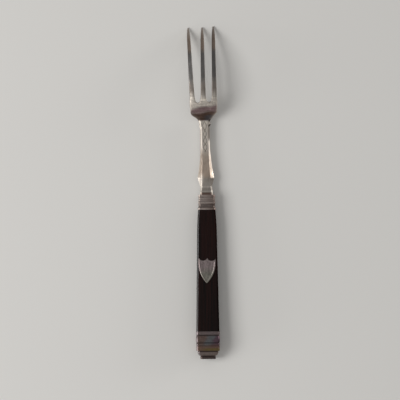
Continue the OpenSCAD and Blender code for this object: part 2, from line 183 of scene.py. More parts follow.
class ShieldSizes(bpy.types.PropertyGroup):
    """Sizes of the inlaid shield"""

    shield_w: length("Width", "Width of the shield", 10.4)
    shield_side: length("Side", "Length of the straight side", 3.4)
    shield_r: length("Side radius", "Radius of the curved sides", 17.4)
    scallop: length("Scallop", "Depth of the two hollows in the top edge", 1.8)
    shield_y: length("Place", "From the ferrule's front to the top edge", 37.6)
    shield_x: length("Offset", "Sideways offset", 0.1)
    shield_turn: FloatProperty(
        name="Turn", description="Turn of the shield in the wood",
        default=math.radians(1.2), subtype="ANGLE",
    )
    shield_t: length("Thickness", "Depth in the wood", 0.9)
    shield_proud: length("Proud", "Height above the wood", 0.25)
    shield_bevel: length("Bevel", "Bevel round the face", 0.35)
    border: length("Border", "Width of the raised border", 0.85)
    pin_d: length("Pin diameter", "Diameter of the pins behind it", 1)
    pin_len: length("Pin length", "Length of the pins", 0.9)
    pin_pitch: length("Pin pitch", "Distance between the pins", 6)


class Finish(bpy.types.PropertyGroup):
    """Colours of the finishes"""

    # bare steel; on the left below the knop it is also laid on as a painted highlight
    steel: colour("Bare steel", "Bare steel on worn edges and on the palm", "#cfc6bb")
    # the cleanest steel, painted lighter at the roots of the tines as a painted highlight
    steel_light: colour("Light steel", "The cleanest steel, at the roots of the tines", "#e2d9cd")
    steel_worn: colour("Worn steel", "Steel with a thin film of tarnish, between palm and tines", "#9f958c")
    steel_grey: colour("Grey steel", "Grey tarnish along the tines", "#676563")
    steel_brown: colour("Brown steel", "Brown tarnish near the points", "#83756a")
    # rosy tarnish, laid where the palm starts to fall and made darker there as painted shade
    steel_rose: colour("Rosy steel", "Rosy tarnish on the palm", "#967f7e")
    # dark steel for the pits and the neck's foot; on the slope of the palm it is a painted dark reflection
    steel_dark: colour("Dark steel", "Old tarnish in hollows and on the slope of the palm", "#67534a")
    # the colour of the engraved lines, and of the painted shade on the bevels and round the tines
    steel_deep: colour("Deep steel", "Stains on the bevels, and the engraved lines", "#403834")
    # a bluish tint, part of the painted dark reflection on the slope
    steel_slate: colour("Slate steel", "Bluish tarnish on the right of that slope", "#5c5c63")
    wood: colour("Wood", "Ground colour of the ebony", "#090504")
    wood_streak: colour("Wood streak", "Redder streaks in the ebony", "#1c0b08")
    silver: colour("Silver", "Worn places on the silver", "#a89b94")
    # the painted highlight on the ferrule's left ribs and bevel
    silver_bare: colour("Bare silver", "Worn left edge of the ferrule", "#dcd1c9")
    # the painted highlight on the cap's left bevel
    silver_edge: colour("Silver edge", "Worn bevels of the cap", "#928b8f")
    silver_rose: colour("Silver tarnish", "Rosy grey tarnish on the silver", "#807069")
    silver_dark: colour("Silver dark", "Dark tarnish in the grooves", "#2e2523")
    shield_rosy: colour("Shield upper part", "Rosy grey tarnish on the shield", "#918483")
    shield_grey: colour("Shield tip", "Greenish grey tarnish towards the shield's tip", "#858279")
    cap_blue: colour("Cap blue", "Blue-grey tarnish", "#666769")
    cap_brown: colour("Cap brown", "Brown tarnish", "#6c5b55")
    cap_violet: colour("Cap violet", "Violet tarnish", "#5d4b53")
    cap_gold: colour("Cap gold", "Golden tarnish", "#706041")
    cap_copper: colour("Cap copper", "Coppery tarnish", "#755c4e")
    cap_grey: colour("Cap grey", "Grey tarnish on the cap's flange and steps", "#706463")
    cement: colour("Cement", "Cutler's resin", "#3b2519")


class StageSettings(bpy.types.PropertyGroup):
    """Floor, light and camera"""

    floor: colour("Floor", "Plain pale floor", "#d6d4d0")
    world: FloatProperty(name="World", description="Strength of the even light from all round", default=0.42)
    view_w: length("Picture width", "Width of the floor that the picture shows", 240)
    lens: FloatProperty(name="Lens", description="Focal length in millimetres", default=500)
    turn: FloatProperty(
        name="Turn", description="Turn of the camera against the fork",
        default=math.radians(-0.53), subtype="ANGLE",
    )


def in_mm(group):
    """A property group's numbers, lengths in millimetres."""
    numbers = [p for p in group.bl_rna.properties if p.type == "FLOAT" and not p.is_array]
    return SimpleNamespace(
        **{p.identifier: getattr(group, p.identifier) / (MM if p.unit == "LENGTH" else 1) for p in numbers}
    )


# Small formulas

def lerp(a, b, u):
    """Straight line from a to b."""
    return a + (b - a) * u


def drop(radius, run):
    """How far a circle of that radius falls away from its tangent after a run along it."""
    return radius - np.sqrt(np.maximum(radius**2 - run**2, 0))


def ease(a, b, x):
    """Rises from 0 at a to 1 at b, flat at both ends: 3u^2 - 2u^3."""
    u = np.clip((x - a) / (b - a), 0, 1)
    return u * u * (3 - 2 * u)


def between(a, b, c, d, x):
    """Rises from 0 at a to 1 at b, and falls back to 0 from c to d."""
    return ease(a, b, x) * (1 - ease(c, d, x))


def bell(x, middle, width):
    """Bell curve, 1 in the middle: exp(-((x - middle) / width)^2)."""
    return np.exp(-(((x - middle) / width) ** 2))


def soft_plus(x, soft):
    """The larger of x and 0, rounded off over the length soft."""
    return (x + np.sqrt(x * x + soft * soft)) / 2


def running_mean(row, reach, **ends):
    """A row of numbers, each the mean of those within reach of it, weighted by a raised cosine."""
    weight = np.hanning(2 * reach + 3)[1:-1]
    return np.convolve(np.pad(row, reach, **ends), weight / weight.sum(), mode="valid")


# Small tools for meshes

# Faces that meet at more than this angle meet in a sharp edge
SHARP = math.radians(38)


def strip(a, b, closed=True):
    """Quads between two rows of vertex numbers."""
    quads = np.stack([a, b, np.roll(b, -1), np.roll(a, -1)], axis=-1)
    return quads if closed else quads[:-1]


def strips(rows, closed=True):
    """Quads between each row of vertex numbers and the next."""
    return [strip(a, b, closed) for a, b in zip(rows, rows[1:])]


def fill(outline, inner=()):
    """Triangles that fill a closed outline and pass through the inner points."""
    points = np.concatenate([outline, np.reshape(inner, (-1, 2))])
    _, _, faces, sources, _, _ = delaunay_2d_cdt(
        [Vector(p) for p in points.tolist()], [], [list(range(len(outline)))], 1, 1e-7
    )
    return np.array(sources)[:, 0][np.array(faces)]


def nearest(points, path):
    """Distance from each point to a path, and the number of the path's nearest point.

    The path is a row of short straight pieces, and the distance is to the nearest place on them.
    """
    start, along = path[:-1], np.diff(path, axis=0)
    square = (along**2).sum(1)
    far, number = [], []
    for block in np.array_split(points, max(1, len(points) // 2000)):
        rel = block[:, None] - start
        u = np.clip((rel * along).sum(2) / square, 0, 1)
        gap = np.linalg.norm(rel - u[..., None] * along, axis=2)
        k = gap.argmin(1)
        rows = np.arange(len(block))
        far.append(gap[rows, k])
        number.append(k + (u[rows, k] > 0.5))
    return np.concatenate(far), np.concatenate(number)


def even_path(path, step, soft):
    """The path again with points every step, its corners rounded by a running mean about soft wide."""
    run = np.concatenate([[0], np.cumsum(np.linalg.norm(np.diff(path, axis=0), axis=1))])
    at = np.linspace(0, run[-1], int(run[-1] / step))
    reach = max(1, round(soft / step))
    columns = (np.interp(at, run, column) for column in path.T)
    return np.stack([running_mean(c, reach, mode="reflect", reflect_type="odd") for c in columns], 1)


def grid(x0, x1, y0, y1, step):
    """Points of a triangular grid in a rectangle."""
    x, y = np.meshgrid(np.arange(x0, x1, step), np.arange(y0, y1, step * 0.87))
    x = x + (np.arange(len(x)) % 2)[:, None] * step / 2
    return np.stack([x.ravel(), y.ravel()], 1)


def lay_down(points):
    """From the handle's own frame in millimetres to the table, in metres: tipped, then moved."""
    x, y, z = points.T
    c, s = math.cos(REST_TILT), math.sin(REST_TILT)
    return (np.stack([x, y * c + z * s, z * c - y * s], 1) + REST_PLACE) * MM


def solid(name, points, faces, marks=None):
    """A closed mesh object from points in the handle's frame and blocks of faces.

    marks are numbers kept at each vertex for the material. Faces are turned to point outwards.
    """
    mesh = bpy.data.meshes.new(name)
    mesh.from_pydata(lay_down(points).tolist(), [], [f for block in faces for f in block.tolist()])
    for mark, values in (marks or {}).items():
        kept = mesh.attributes.new(mark, "FLOAT", "POINT").data
        kept.foreach_set("value", np.asarray(values, np.float32))
    shape = bmesh.new()
    shape.from_mesh(mesh)
    bmesh.ops.recalc_face_normals(shape, faces=shape.faces)
    shape.to_mesh(mesh)
    shape.free()
    mesh.shade_smooth()
    mesh.set_sharp_from_angle(angle=SHARP)
    mesh.validate()
    obj = bpy.data.objects.new(name, mesh)
    bpy.context.scene.collection.objects.link(obj)
    return obj


def combine(obj, other, operation):
    """Cuts the other solid out of obj or joins it on, and removes the other one."""
    step = obj.modifiers.new(operation, "BOOLEAN")
    step.operation = operation
    step.object = other
    step.solver = "EXACT"
    bpy.context.view_layer.update()
    done = bpy.data.meshes.new_from_object(obj.evaluated_get(bpy.context.evaluated_depsgraph_get()))
    if len(done.vertices) < len(obj.data.vertices) / 2:
        raise RuntimeError(f"{operation} on {obj.name} lost most of its mesh")
    obj.modifiers.clear()
    old = obj.data
    obj.data = done
    done.name = obj.name
    done.set_sharp_from_angle(angle=SHARP)
    bpy.data.meshes.remove(old)
    bpy.data.objects.remove(other)


def place(obj, node_name, material):
    """Gives a finished piece its material and lets it stand for its CAD node."""
    obj.data.materials.clear()
    obj.data.materials.append(material)
    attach(obj, "root")
    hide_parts(node_name)


# Steel head, in millimetres

# How much shorter than the longest tine each one is worn, and how far it leans
TINE_WEAR = np.array([0.7, 0.5, 0])
TINE_LEAN = np.tan(np.radians([-2.8, -0.5, -0.5]))
# How full a point's outline is, and how late a tine and the shank widen
POINT_FULLNESS = 2.4
ROOT_FLARE = 1.1
ROOT_FILLET = 25
ROOT_FILLET_SHARE = 0.45
KNOP_FLARE = 1.7
# Rows of vertices along an edge, as shares of the edge's width, and up a wall, of its height
EDGE_SHARES = np.array([0, 0.03, 0.1, 0.2, 0.34, 0.52, 0.74, 0.9, 1.0, 1.1, 1.3])
WALL_SHARES = np.array([0.08, 0.35, 0.65, 0.92])
# How much fuller the left shoulder is than the right one
LEFT_SHOULDER = 1.1
# How much wider the palm's edges are rubbed round, how far behind the tines' roots, and how far along
PALM_RUB = 0.55
RUB_BEHIND = 3.5
RUB_LEN = 3
# How much leaner the outer sides are at the root of the tines, and over what length
ROOT_LEAN = 0.3
ROOT_LEAN_LEN = 3.5
# How much deeper than wide an edge is, and the share of its thickness that stays upright
EDGE_DEPTH = 0.9
EDGE_UPRIGHT = 0.25
# Places along the head where its middle line turns, and the share of the lean that it has there
LEAN_PLACES = (0, 10.2, 39, 54.5)
LEAN_SHARES = (0.05, 0.22, 0.5, 0.98)
# How much the palm is bowed across, how far the neck's foot stands out, and how deep the chain is cut
PALM_BOW = 0.28
FOOT_STEP = 0.16
CHAIN_DEPTH = 0.05
# The chain's place beside the middle line, and the strip round it where the mesh is fine: half its
# width, and how far behind the crease it begins and ends
CHAIN_X = 0.1
CHAIN_STRIP = 1.4
CHAIN_FROM = 20.4
CHAIN_TO = 0.4
# Distances between the mesh's points on the faces, on the neck and in that strip
FACE_STEP = 0.62
NECK_STEP = 0.28
CHAIN_STEP = 0.13


class Head:
    """Formulas of the forged head, in millimetres in the handle's frame: y runs to the points."""

    def __init__(self, sizes):
        self.__dict__.update(vars(sizes))
        self.arch_y = self.root_y + self.arch_ahead
        self.slope_y = self.arch_y - self.palm_r * math.sin(self.palm_slope)
        self.slope_z = self.arch_h - drop(self.palm_r, self.arch_y - self.slope_y)
        self.crease_y = self.slope_y - (self.slope_z - self.shank_t / 2) / math.tan(self.palm_slope)
        self.shoulder_y = self.crease_y + self.shoulder_len
        self.gap_r = (self.tine_pitch - self.tine_root_w) / 2
        self.tine_lens = self.tine_len - TINE_WEAR
        self.path = self.outline()
        self.near_lens, self.edge_w = self.along_path()

    def middle_x(self, y):
        """Middle line: it leans to one side, most of all between the shank and the palm."""
        places = LEAN_PLACES + (self.root_y,)
        return -self.head_offset * np.interp(y, places, LEAN_SHARES + (1.0,))

    def back_z(self, y):
        """Back from the side: a straight slope, an arc over the palm, then a long bow."""
        bow = self.arch_h - drop(self.bow_r, np.maximum(y - self.arch_y, 0))
        palm = self.arch_h - drop(self.palm_r, np.clip(self.arch_y - y, 0, self.arch_y - self.slope_y))
        slope = np.maximum(self.slope_y - y, 0) * math.tan(self.palm_slope)
        return np.where(y > self.arch_y, bow, palm - slope)

    def flare(self, y):
        """0 on the slim shank, 1 at its widest place, by the power law u^KNOP_FLARE."""
        return np.clip(1 - (y - self.knop_y) / self.flare_len, 0, 1) ** KNOP_FLARE

    def shank_size(self, y, neck, waist, knop, slim):
        """A width or thickness of the shank: straight from foot to waist to knop, then the flare."""
        behind = np.interp(y, (0, self.neck_foot, self.waist_y, self.knop_y), (neck, neck, waist, knop))
        return np.where(y < self.knop_y, behind, lerp(slim, knop, self.flare(y)))

    def half_w(self, y, side):
        """Half width of shank and palm on one side, -1 left and 1 right, with its small collar."""
        shank = self.shank_size(y, self.neck_w, self.waist_w, self.knop_w, self.shank_w) / 2
        crease, first, last = self.crease_y, self.shank_w / 2, self.palm_foot_w / 2
        # the collar: how far its corners lie behind the crease, and how much wider than its half width
        if side < 0:
            corners, wider = (self.collar_len + 0.8, self.collar_len + 0.1, 1.4, 0), (-0.18, -0.18)
        else:
            corners, wider = (3.7, 3.1, 1.9, 1.3, 0.7, 0), (0.15, 0.2, -0.2, -0.2)
        collar = [first, *(self.collar_w / 2 + gain for gain in wider), last]
        lug = np.interp(y, crease - np.array(corners), collar)
        # the palm: a slanting shoulder, then a quarter of a sine wave to the root of the tines
        palm_end = self.tine_pitch + self.tine_root_w / 2
        slanting = lerp(last, self.shoulder_w / 2, (y - crease) / self.shoulder_len)
        rise = np.sin(np.clip((y - self.shoulder_y) / (self.root_y - self.shoulder_y), 0, 1) * math.pi / 2)
        side_w = lerp(self.shoulder_w / 2, palm_end, rise) - self.leaner(y - self.root_y)
        palm = np.where(y < self.shoulder_y, slanting, side_w)
        if side < 0:
            palm = palm + LEFT_SHOULDER * bell(y, self.shoulder_y - 1.5, 1.4)
        return np.select([y < crease - 5, y < crease], [shank, lug], palm)

    def leaner(self, run):
        """What the outer sides lack round the root of the tines: a bell curve along the head."""
        return ROOT_LEAN * bell(run, 0, ROOT_LEAN_LEN)

    def tine_size(self, ahead, tine_len, root, neck, tip):
        """Width or thickness of a tine at a distance behind its tip.

        Over the point it is tip + (neck - tip)(1 - (1 - u)^POINT_FULLNESS). Behind it grows to the
        root by the power law u^ROOT_FLARE, and by u^ROOT_FILLET for the sudden rounding at the root.
        """
        point = 1 - (1 - np.clip(ahead / self.point_len, 0, 1)) ** POINT_FULLNESS
        u = np.clip((ahead - self.point_len) / (tine_len - self.point_len), 0, 1)
        behind = lerp(u**ROOT_FLARE, u**ROOT_FILLET, ROOT_FILLET_SHARE)
        return np.where(ahead < self.point_len, lerp(tip, neck, point), lerp(neck, root, behind))

    def tine_width(self, run, tine_len):
        """Width of a tine at a distance ahead of its root."""
        return self.tine_size(tine_len - run, tine_len, self.tine_root_w, self.tine_neck_w, self.tip_w)

    def tine_path(self, k):
        """Outline of one tine: up its right side, round the tip by a half ellipse, down its left side."""
        tine_len = self.tine_lens[k]
        run = np.linspace(0.4, tine_len - self.tip_w / 2, 260)
        # a hair narrower, so that the rounded path stays inside the solid's box
        half = self.tine_width(run, tine_len) / 2 - 0.003
        turn = np.linspace(0, math.pi, 13)[1:-1]
        end_x = half[-1] * np.cos(turn)
        end_run = run[-1] + self.tip_w / 2 * np.sin(turn)
        right = half - (self.leaner(run) if k == 2 else 0)
        left = half - (self.leaner(run) if k == 0 else 0)
        across = np.concatenate([right, end_x, -left[::-1]])
        runs = np.concatenate([run, end_run, run[::-1]])
        x = self.middle_x(self.root_y) + (k - 1) * self.tine_pitch + runs * TINE_LEAN[k] + across
        return np.stack([x, self.root_y + runs], 1)

    def gap_path(self, k, ahead):
        """Round bottom of a gap, from its right end to its left end."""
        turn = np.linspace(0, -math.pi, 25)
        x = self.middle_x(self.root_y) + (k - 0.5) * self.tine_pitch + self.gap_r * np.cos(turn)
        return np.stack([x, self.root_y + ahead + self.gap_r * np.sin(turn)], 1)

    def outline(self):
        """The whole outline, anticlockwise from the neck's right corner to its left one."""
        y = np.linspace(0, self.root_y, 700)
        right = np.stack([self.middle_x(y) + self.half_w(y, 1), y], 1)
        left = np.stack([self.middle_x(y) - self.half_w(y, -1), y], 1)[::-1]
        parts = [
            right, self.tine_path(2), self.gap_path(1, 0.2), self.tine_path(1),
            self.gap_path(0, -0.2), self.tine_path(0), left,
        ]
        return even_path(np.concatenate(parts), 0.2, 0.35)

    def along_path(self):
        """For each point of the outline, the length of its tine and the width of its edge."""
        x, y = self.path.T
        run = np.maximum(y - self.root_y, 0)
        middles = self.middle_x(self.root_y) + np.array([-1, 0, 1]) * self.tine_pitch
        k = np.abs(x[:, None] - middles - run[:, None] * TINE_LEAN).argmin(1)
        tine_len = self.tine_lens[k]
        # the palm's edges are rubbed rounder, and so are the tines' where they begin
        rubbed = PALM_RUB * bell(y, self.root_y - RUB_BEHIND, RUB_LEN)
        palm = lerp(self.shank_bevel, self.tine_bevel, ease(self.crease_y, self.root_y, y)) + rubbed
        rubbed = PALM_RUB * bell(0, RUB_BEHIND, RUB_LEN) * (1 - ease(0, RUB_LEN, run))
        tine = np.minimum(self.tine_bevel, 0.34 * self.tine_width(run, tine_len)) + rubbed
        flare = lerp(self.shank_bevel, self.knop_bevel, self.flare(y))
        behind = np.interp(y, (self.waist_y, self.knop_y), (self.shank_bevel, self.knop_bevel))
        places = [y > self.root_y, y > self.crease_y, y >= self.knop_y]
        return tine_len, np.select(places, [tine, palm, flare], behind)

    def inward(self):
        """Unit vectors from the outline into the steel: across on shank and palm, else square to it."""
        tangent = np.gradient(self.path, axis=0)
        square = np.stack([-tangent[:, 1], tangent[:, 0]], 1)
        square /= np.linalg.norm(square, axis=1)[:, None]
        first_half = np.arange(len(self.path)) < len(self.path) / 2
        across = np.column_stack([np.where(first_half, -1.0, 1.0), np.zeros(len(self.path))])
        turn = ease(self.shoulder_y + 1, self.shoulder_y + 3, self.path[:, 1])[:, None]
        both = lerp(across, square, turn)
        return both / np.linalg.norm(both, axis=1)[:, None]

    def engraving(self, x, y):
        """Masks of the chain that is cut in the shank's face, and of the cleaner metal inside its links.

        The lines are off = wave, with off the distance from the middle, for two crossing sines.
        """
        off = np.abs(x - self.middle_x(y) - CHAIN_X)
        links = np.interp(y, self.crease_y - np.array([19.4, 18.5, 6.4, 0.9, 0.5]), (4.22, 4, 1, 0, 0))
        wave = (0.95 + 0.12 * np.cos(links * 2.1)) * np.abs(np.sin(links * math.pi))
        line = 1 - ease(0.1, 0.28, np.abs(off - wave))
        window = between(-19.6, -18.6, -1.2, -0.7, y - self.crease_y)
        return line * window, ease(0.2, 0.55, wave - off) * window

    def surfaces(self, points):
        """Heights of the upper and lower surface, and the marks for the steel, at points (x, y).

        The upper one is the back's line, let down along the edges by a chamfer on the shank and by
        a quarter ellipse on palm and tines. The lower one lies a thickness under it, and runs into
        the shank's underside by a soft maximum.
        """
        x, y = points.T
        far, k = nearest(points, self.path)
        tine_len, edge = self.near_lens[k], self.edge_w[k]
        run, on_tine = np.maximum(y - self.root_y, 0), y > self.root_y
        thick = self.shank_size(y, self.neck_t, self.neck_t, self.knop_t, self.shank_t)
        rise = self.back_z(np.where(on_tine, self.root_y + run * self.tine_len / tine_len, y))
        palm_u = np.clip((y - self.crease_y) / (self.root_y - self.crease_y), 0, 1)
        sheet = lerp(self.shank_t, self.palm_t, np.sin(palm_u * math.pi / 2))
        tine_t = self.tine_size(tine_len - run, tine_len, self.palm_t, self.tine_neck_t, self.tip_t)
        top = thick / 2 + soft_plus(rise - thick / 2, 0.25)
        under = -thick / 2 + soft_plus(rise - sheet + thick / 2, self.heel_round * (1 - palm_u))
        top, under = np.where(on_tine, rise, top), np.where(on_tine, rise - tine_t, under)
        # the palm is bowed across, and the forging is never quite flat
        across = (x - self.middle_x(y)) / self.tine_pitch
        bowed = between(self.crease_y, self.crease_y + 5, self.root_y, self.root_y + 14, y)
        wave = 0.018 * (np.sin(0.9 * x + 0.33 * y) + np.sin(0.47 * y - 1.3 * x + 1.7))
        uneven = wave - PALM_BOW * bowed * across**2
        # edges, with a faint fall towards them on palm and tines
        s = far / edge
        chamfer = soft_plus(1 - s, 0.1) * np.minimum(edge, (1 - EDGE_UPRIGHT) * thick / 2)
        u = np.clip(1 - s, 0, 1)
        rounded = (1 - np.sqrt(1 - u * u)) * edge * EDGE_DEPTH + 0.16 * np.exp(-far / 0.8)
        fall = lerp(chamfer, rounded, ease(self.crease_y - 0.5, self.crease_y + 2.5, y))
        fall = np.minimum(fall, 0.46 * (top - under))
        # the neck's foot, whose front is like a low arch
        arch = y + 0.12 * np.abs(x)
        foot = FOOT_STEP * (1 - ease(self.neck_foot - 0.2, self.neck_foot + 0.1, arch))
        chain, _ = self.engraving(x, y)
        upper = top + uneven - fall + foot - CHAIN_DEPTH * chain
        return upper, under + uneven + fall - foot, self.marks(x, y, far, edge, x > self.path[k, 0])

    def marks(self, x, y, far, edge, faces_left):
        """Marks of the steel, from 0 to 1: worn for bare metal and for a painted highlight, cut for the
        engraved lines and for painted shade.

        far is the distance from the outline, and s the same in widths of the edge. Places along the
        head that belong to no size are in millimetres from the ferrule.
        """
        crease, root, knop = self.crease_y, self.root_y, self.knop_y
        waist, foot = self.waist_y, self.neck_foot
        middle, s = self.middle_x(y), far / edge
        left, right = x < middle, x > middle
        # painted shade on the bevels: thin along the left side, where it tones down the highlight, darker on
        # the right one above the flare and below the knop
        thin = 0.38 * (y < root) * ease(12, 26, y) * (1 - 0.4 * ease(crease + 4, crease + 7, y))
        high = between(31, 34.5, crease, crease + 0.5, y)
        low = between(waist - 0.3, waist + 0.5, knop - 1, knop, y)
        behind = between(foot, foot + 0.4, waist - 0.3, waist + 0.5, y)
        bevel_shade = (far < edge) * (left * thin + right * (high + 0.6 * low + 0.5 * behind))
        # painted shade on the ridge of the left bevel on the flare and, more to the outside, below the knop,
        # which softens the highlight there
        ridge = bell(s, 1, 0.25) * between(11, 13, 25, 29, y)
        below = between(waist - 0.3, waist + 0.5, knop - 0.2, knop + 0.3, y)
        bevel_shade = bevel_shade + 0.42 * left * (ridge + below * between(0.4, 0.95, 1.0, 1.25, s))
        bevel_shade = np.clip(bevel_shade, 0, 1)
        # bare along the edges behind the tines and inside the links, and a painted highlight on the left
        # below the knop
        edges = 0.9 * np.exp(-far / 0.45) * (1 - ease(root - 2, root + 2, y))
        rubbed = left * (1 - ease(1.1, 2.0, s)) * between(foot + 1, waist, knop + 0.5, knop + 4.5, y)
        chain, links_inside = self.engraving(x, y)
        worn = np.maximum.reduce([edges, 0.7 * links_inside, 0.62 * rubbed])
        # painted shade round the edges of the tines, thinner at their points, which tones down their
        # highlights
        grown = np.interp(y - root, (-1.5, 0.5, 4, 28, 36), (0, 0.6, 1, 1, 0.45))
        inner_root = 0.78 * faces_left * (x > middle - self.tine_pitch / 2) * ease(root - 2.5, root - 1, y)
        reach = lerp(1.9, 1.0, ease(root + 5, root + 11, y))
        edge_shade = np.maximum(grown, inner_root) * (1 - ease(0.3, reach, s)) * np.where(faces_left, 1, 0.7)
        return {"worn": worn * (1 - bevel_shade), "cut": np.maximum.reduce([0.9 * chain, bevel_shade, edge_shade])}

    def face_points(self, inward):
        """Points inside the edges: a coarse grid, a finer one on the neck and a fine one on the chain."""
        first, last = self.crease_y - CHAIN_FROM, self.crease_y - CHAIN_TO
        coarse, fine = grid(-12, 12, 4.2, 102, FACE_STEP), grid(-3, 2, first, last, CHAIN_STEP)

        def in_strip(points):
            """Whether points lie within the width of the strip that holds the chain."""
            return np.abs(points[:, 0] - self.middle_x(points[:, 1]) - CHAIN_X) < CHAIN_STRIP

        beside = ~in_strip(coarse) | (coarse[:, 1] <= first) | (coarse[:, 1] >= last)
        inner = np.concatenate([coarse[beside], grid(-5, 5, 0.3, 4, NECK_STEP), fine[in_strip(fine)]])
        far, k = nearest(inner, self.path)
        inside = ((inner - self.path[k]) * inward[k]).sum(1) > 0
        return inner[inside & (far > EDGE_SHARES[-1] * self.edge_w[k] + 0.3)]


def build_head(sizes):
    """The forged head as one skin: edge rows, filled faces, side walls, the neck's end and the tang."""
    head = Head(sizes)
    path, inward = head.path, head.inward()
    rows = path + inward * (head.edge_w[:, None] * EDGE_SHARES[:, None, None])
    last, count = rows[-1], len(path)
    end_x = np.linspace(last[-1, 0], last[0, 0], 12)[1:-1]
    end = np.stack([end_x, 0 * end_x], 1)
    inner = head.face_points(inward)
    flat = np.concatenate([rows.reshape(-1, 2), end, inner])
    upper, lower, marks = head.surfaces(flat)
    total = len(flat)
    ids = np.arange(len(EDGE_SHARES) * count).reshape(-1, count)
    patch = np.concatenate([ids[-1], np.arange(ids.size, total)])
    sheet = strips(ids, closed=False) + [patch[fill(np.concatenate([last, end]), inner)]]
    walls = lerp(upper[ids[0]], lower[ids[0]], WALL_SHARES[:, None])
    wall_ids = 2 * total + np.arange(walls.size).reshape(walls.shape)
    points = np.concatenate([
        np.column_stack([flat, upper]),
        np.column_stack([flat, lower]),
        np.column_stack([np.tile(path, (len(WALL_SHARES), 1)), walls.ravel()]),
    ])
    side = np.concatenate([ids[:1], wall_ids, ids[:1] + total])
    faces = sheet + [block[:, ::-1] + total for block in sheet] + strips(side[::-1], closed=False)
    # end of the neck, clockwise from its upper left corner as the handle sees it
    end_ids = ids.size + np.arange(len(end))
    loop = np.concatenate([
        ids[:, -1], end_ids, ids[::-1, 0], wall_ids[:, 0],
        ids[:, 0] + total, end_ids[::-1] + total, ids[::-1, -1] + total, wall_ids[::-1, -1],
    ])
    # the tang: round rings whose points stand at the turns of the neck's end, and a pole
    around = np.arctan2(points[loop, 2], points[loop, 0])
    ring = np.stack([np.cos(around), 0 * around, np.sin(around)], 1)
    stations = [
        (0, head.tang_d), (-1, head.tang_d), (1 - head.tang_len, head.tang_end_d),
        (-head.tang_len, head.tang_end_d - 0.6),
    ]
    tang = [ring * d / 2 + (0, y, 0) for y, d in stations]
    tang_ids = len(points) + np.arange(len(tang) * len(loop)).reshape(len(tang), -1)
    points = np.concatenate([points] + tang + [[(0, -head.tang_len, 0)]])
    faces += strips(np.concatenate([[loop], tang_ids]))
    pole = np.full(len(loop), len(points) - 1)
    faces.append(np.stack([tang_ids[-1], pole, np.roll(tang_ids[-1], -1)], 1))
    extra = len(points) - 2 * total
    kept = {name: np.concatenate([v, v, np.zeros(extra)]) for name, v in marks.items()}
    # the walls are rubbed too
    kept["worn"][2 * total : 2 * total + walls.size] = 0.6
    return solid("steel_head_piece", points, faces, kept)


# Ferrule, grip and cap: rings of a bevelled bar

# Points of a ring: four on each of its eight corners, and more along the flat sides
CORNER_TURN = np.radians([0, 15, 30, 45])
FLAT_EXTRAS = {1: 9, 5: 9, 3: 2, 7: 2}
# Half width, half thickness, bevel and rounding of the bar whose turns the round rings share
PLAIN_BAR = (4.5, 3, 0.9, 0.3)
# Distance between the points of a profile, and how softly its steps are rounded
PROFILE_STEP = 0.07
PROFILE_SOFT = 0.08
# Radius of the hole in the ferrule's front wall
HOLE_R = 1.95
# How much further in than its size says the cap's last step stands
END_IN_MORE = 0.35
# How softly the long edges of the mounts, of the wood and of its tenons are rounded
MOUNT_ROUND = 0.25
WOOD_ROUND = 0.22
TENON_ROUND = 0.1
# How far the wood's ends are drawn in, how many rings lie between them, and how its flats are crowned
END_ROUND = 0.12
GRIP_ROWS = 180
CROWN = 0.1
# Distance between the mesh's points on the shield, and how much lower its field lies than its border
SHIELD_STEP = 0.16
FIELD_DEPTH = 0.1


def ring_places():
    """Places round a ring, as fractions of the numbers of its corner points."""
    steps = []
    for k in range(8):
        count = FLAT_EXTRAS.get(k, 0) + 1
        steps += [4 * k + np.arange(3), 4 * k + 3 + np.arange(count) / count]
    return np.concatenate(steps)


RING_PLACES = ring_places()
# The points of the two upper bevels
LEFT_BEVEL = np.isin(RING_PLACES, (10, 11, 12, 13))
RIGHT_BEVEL = np.isin(RING_PLACES, (2, 3, 4, 5))
# 0 at the right end of the upper flat, a half at its left end, 1 on the upper left bevel: the ramp of the
# ferrule's painted highlight
LEFTWARDS = np.interp(RING_PLACES, (7, 8, 10, 13, 14), (0, 0.5, 1, 1, 0))


def bar_rings(*sizes):
    """Rings of a bevelled bar, one for each row of half width, half thickness, bevel and rounding.

    Each is an octagon shrunk by the rounding and grown back by arcs.
    """
    half_w, half_t, bevel, soft = (np.atleast_1d(v).astype(float) for v in np.broadcast_arrays(*sizes))
    cut = np.maximum(bevel - soft * (2 - math.sqrt(2)), 0.01)
    a, b = half_w - soft, half_t - soft
    x = np.stack([a, a - cut, cut - a, -a, -a, cut - a, a - cut, a], 1)
    z = np.stack([b - cut, b, b, b - cut, cut - b, -b, -b, cut - b], 1)
    turn = (np.arange(8) * math.pi / 4)[:, None] + CORNER_TURN
    arc = soft[:, None, None, None] * np.stack([np.cos(turn), np.sin(turn)], -1)
    corners = (np.stack([x, z], -1)[:, :, None] + arc).reshape(len(a), -1, 2)
    low = RING_PLACES.astype(int)
    share = (RING_PLACES - low)[None, :, None]
    return lerp(corners[:, low], corners[:, (low + 1) % corners.shape[1]], share)


def circle_ring(radius):
    """A round ring whose points stand at the same turns as those of a plain bevelled bar."""
    x, z = bar_rings(*PLAIN_BAR)[0].T
    turn = np.arctan2(z, x)
    return radius * np.stack([np.cos(turn), np.sin(turn)], 1)[None]


def tenon_ring(m, g, width, thickness, wall):
    """The ring of a mount's hollow, or of the wood in it: the mount's size less a wall all round."""
    return bar_rings(width / 2 - wall, thickness / 2 - wall, g.grip_bevel - m.metal_t, TENON_ROUND)


def turned(y, rings):
    """Rings (x, z) set up at places y, as one array of points."""
    y = np.broadcast_to(np.atleast_1d(y)[:, None], rings.shape[:2])
    return np.stack([rings[..., 0], y, rings[..., 1]], -1)


def tube(ring, first_y, last_y):
    """One ring set up at two places."""
    return turned([first_y, last_y], np.repeat(ring, 2, axis=0))


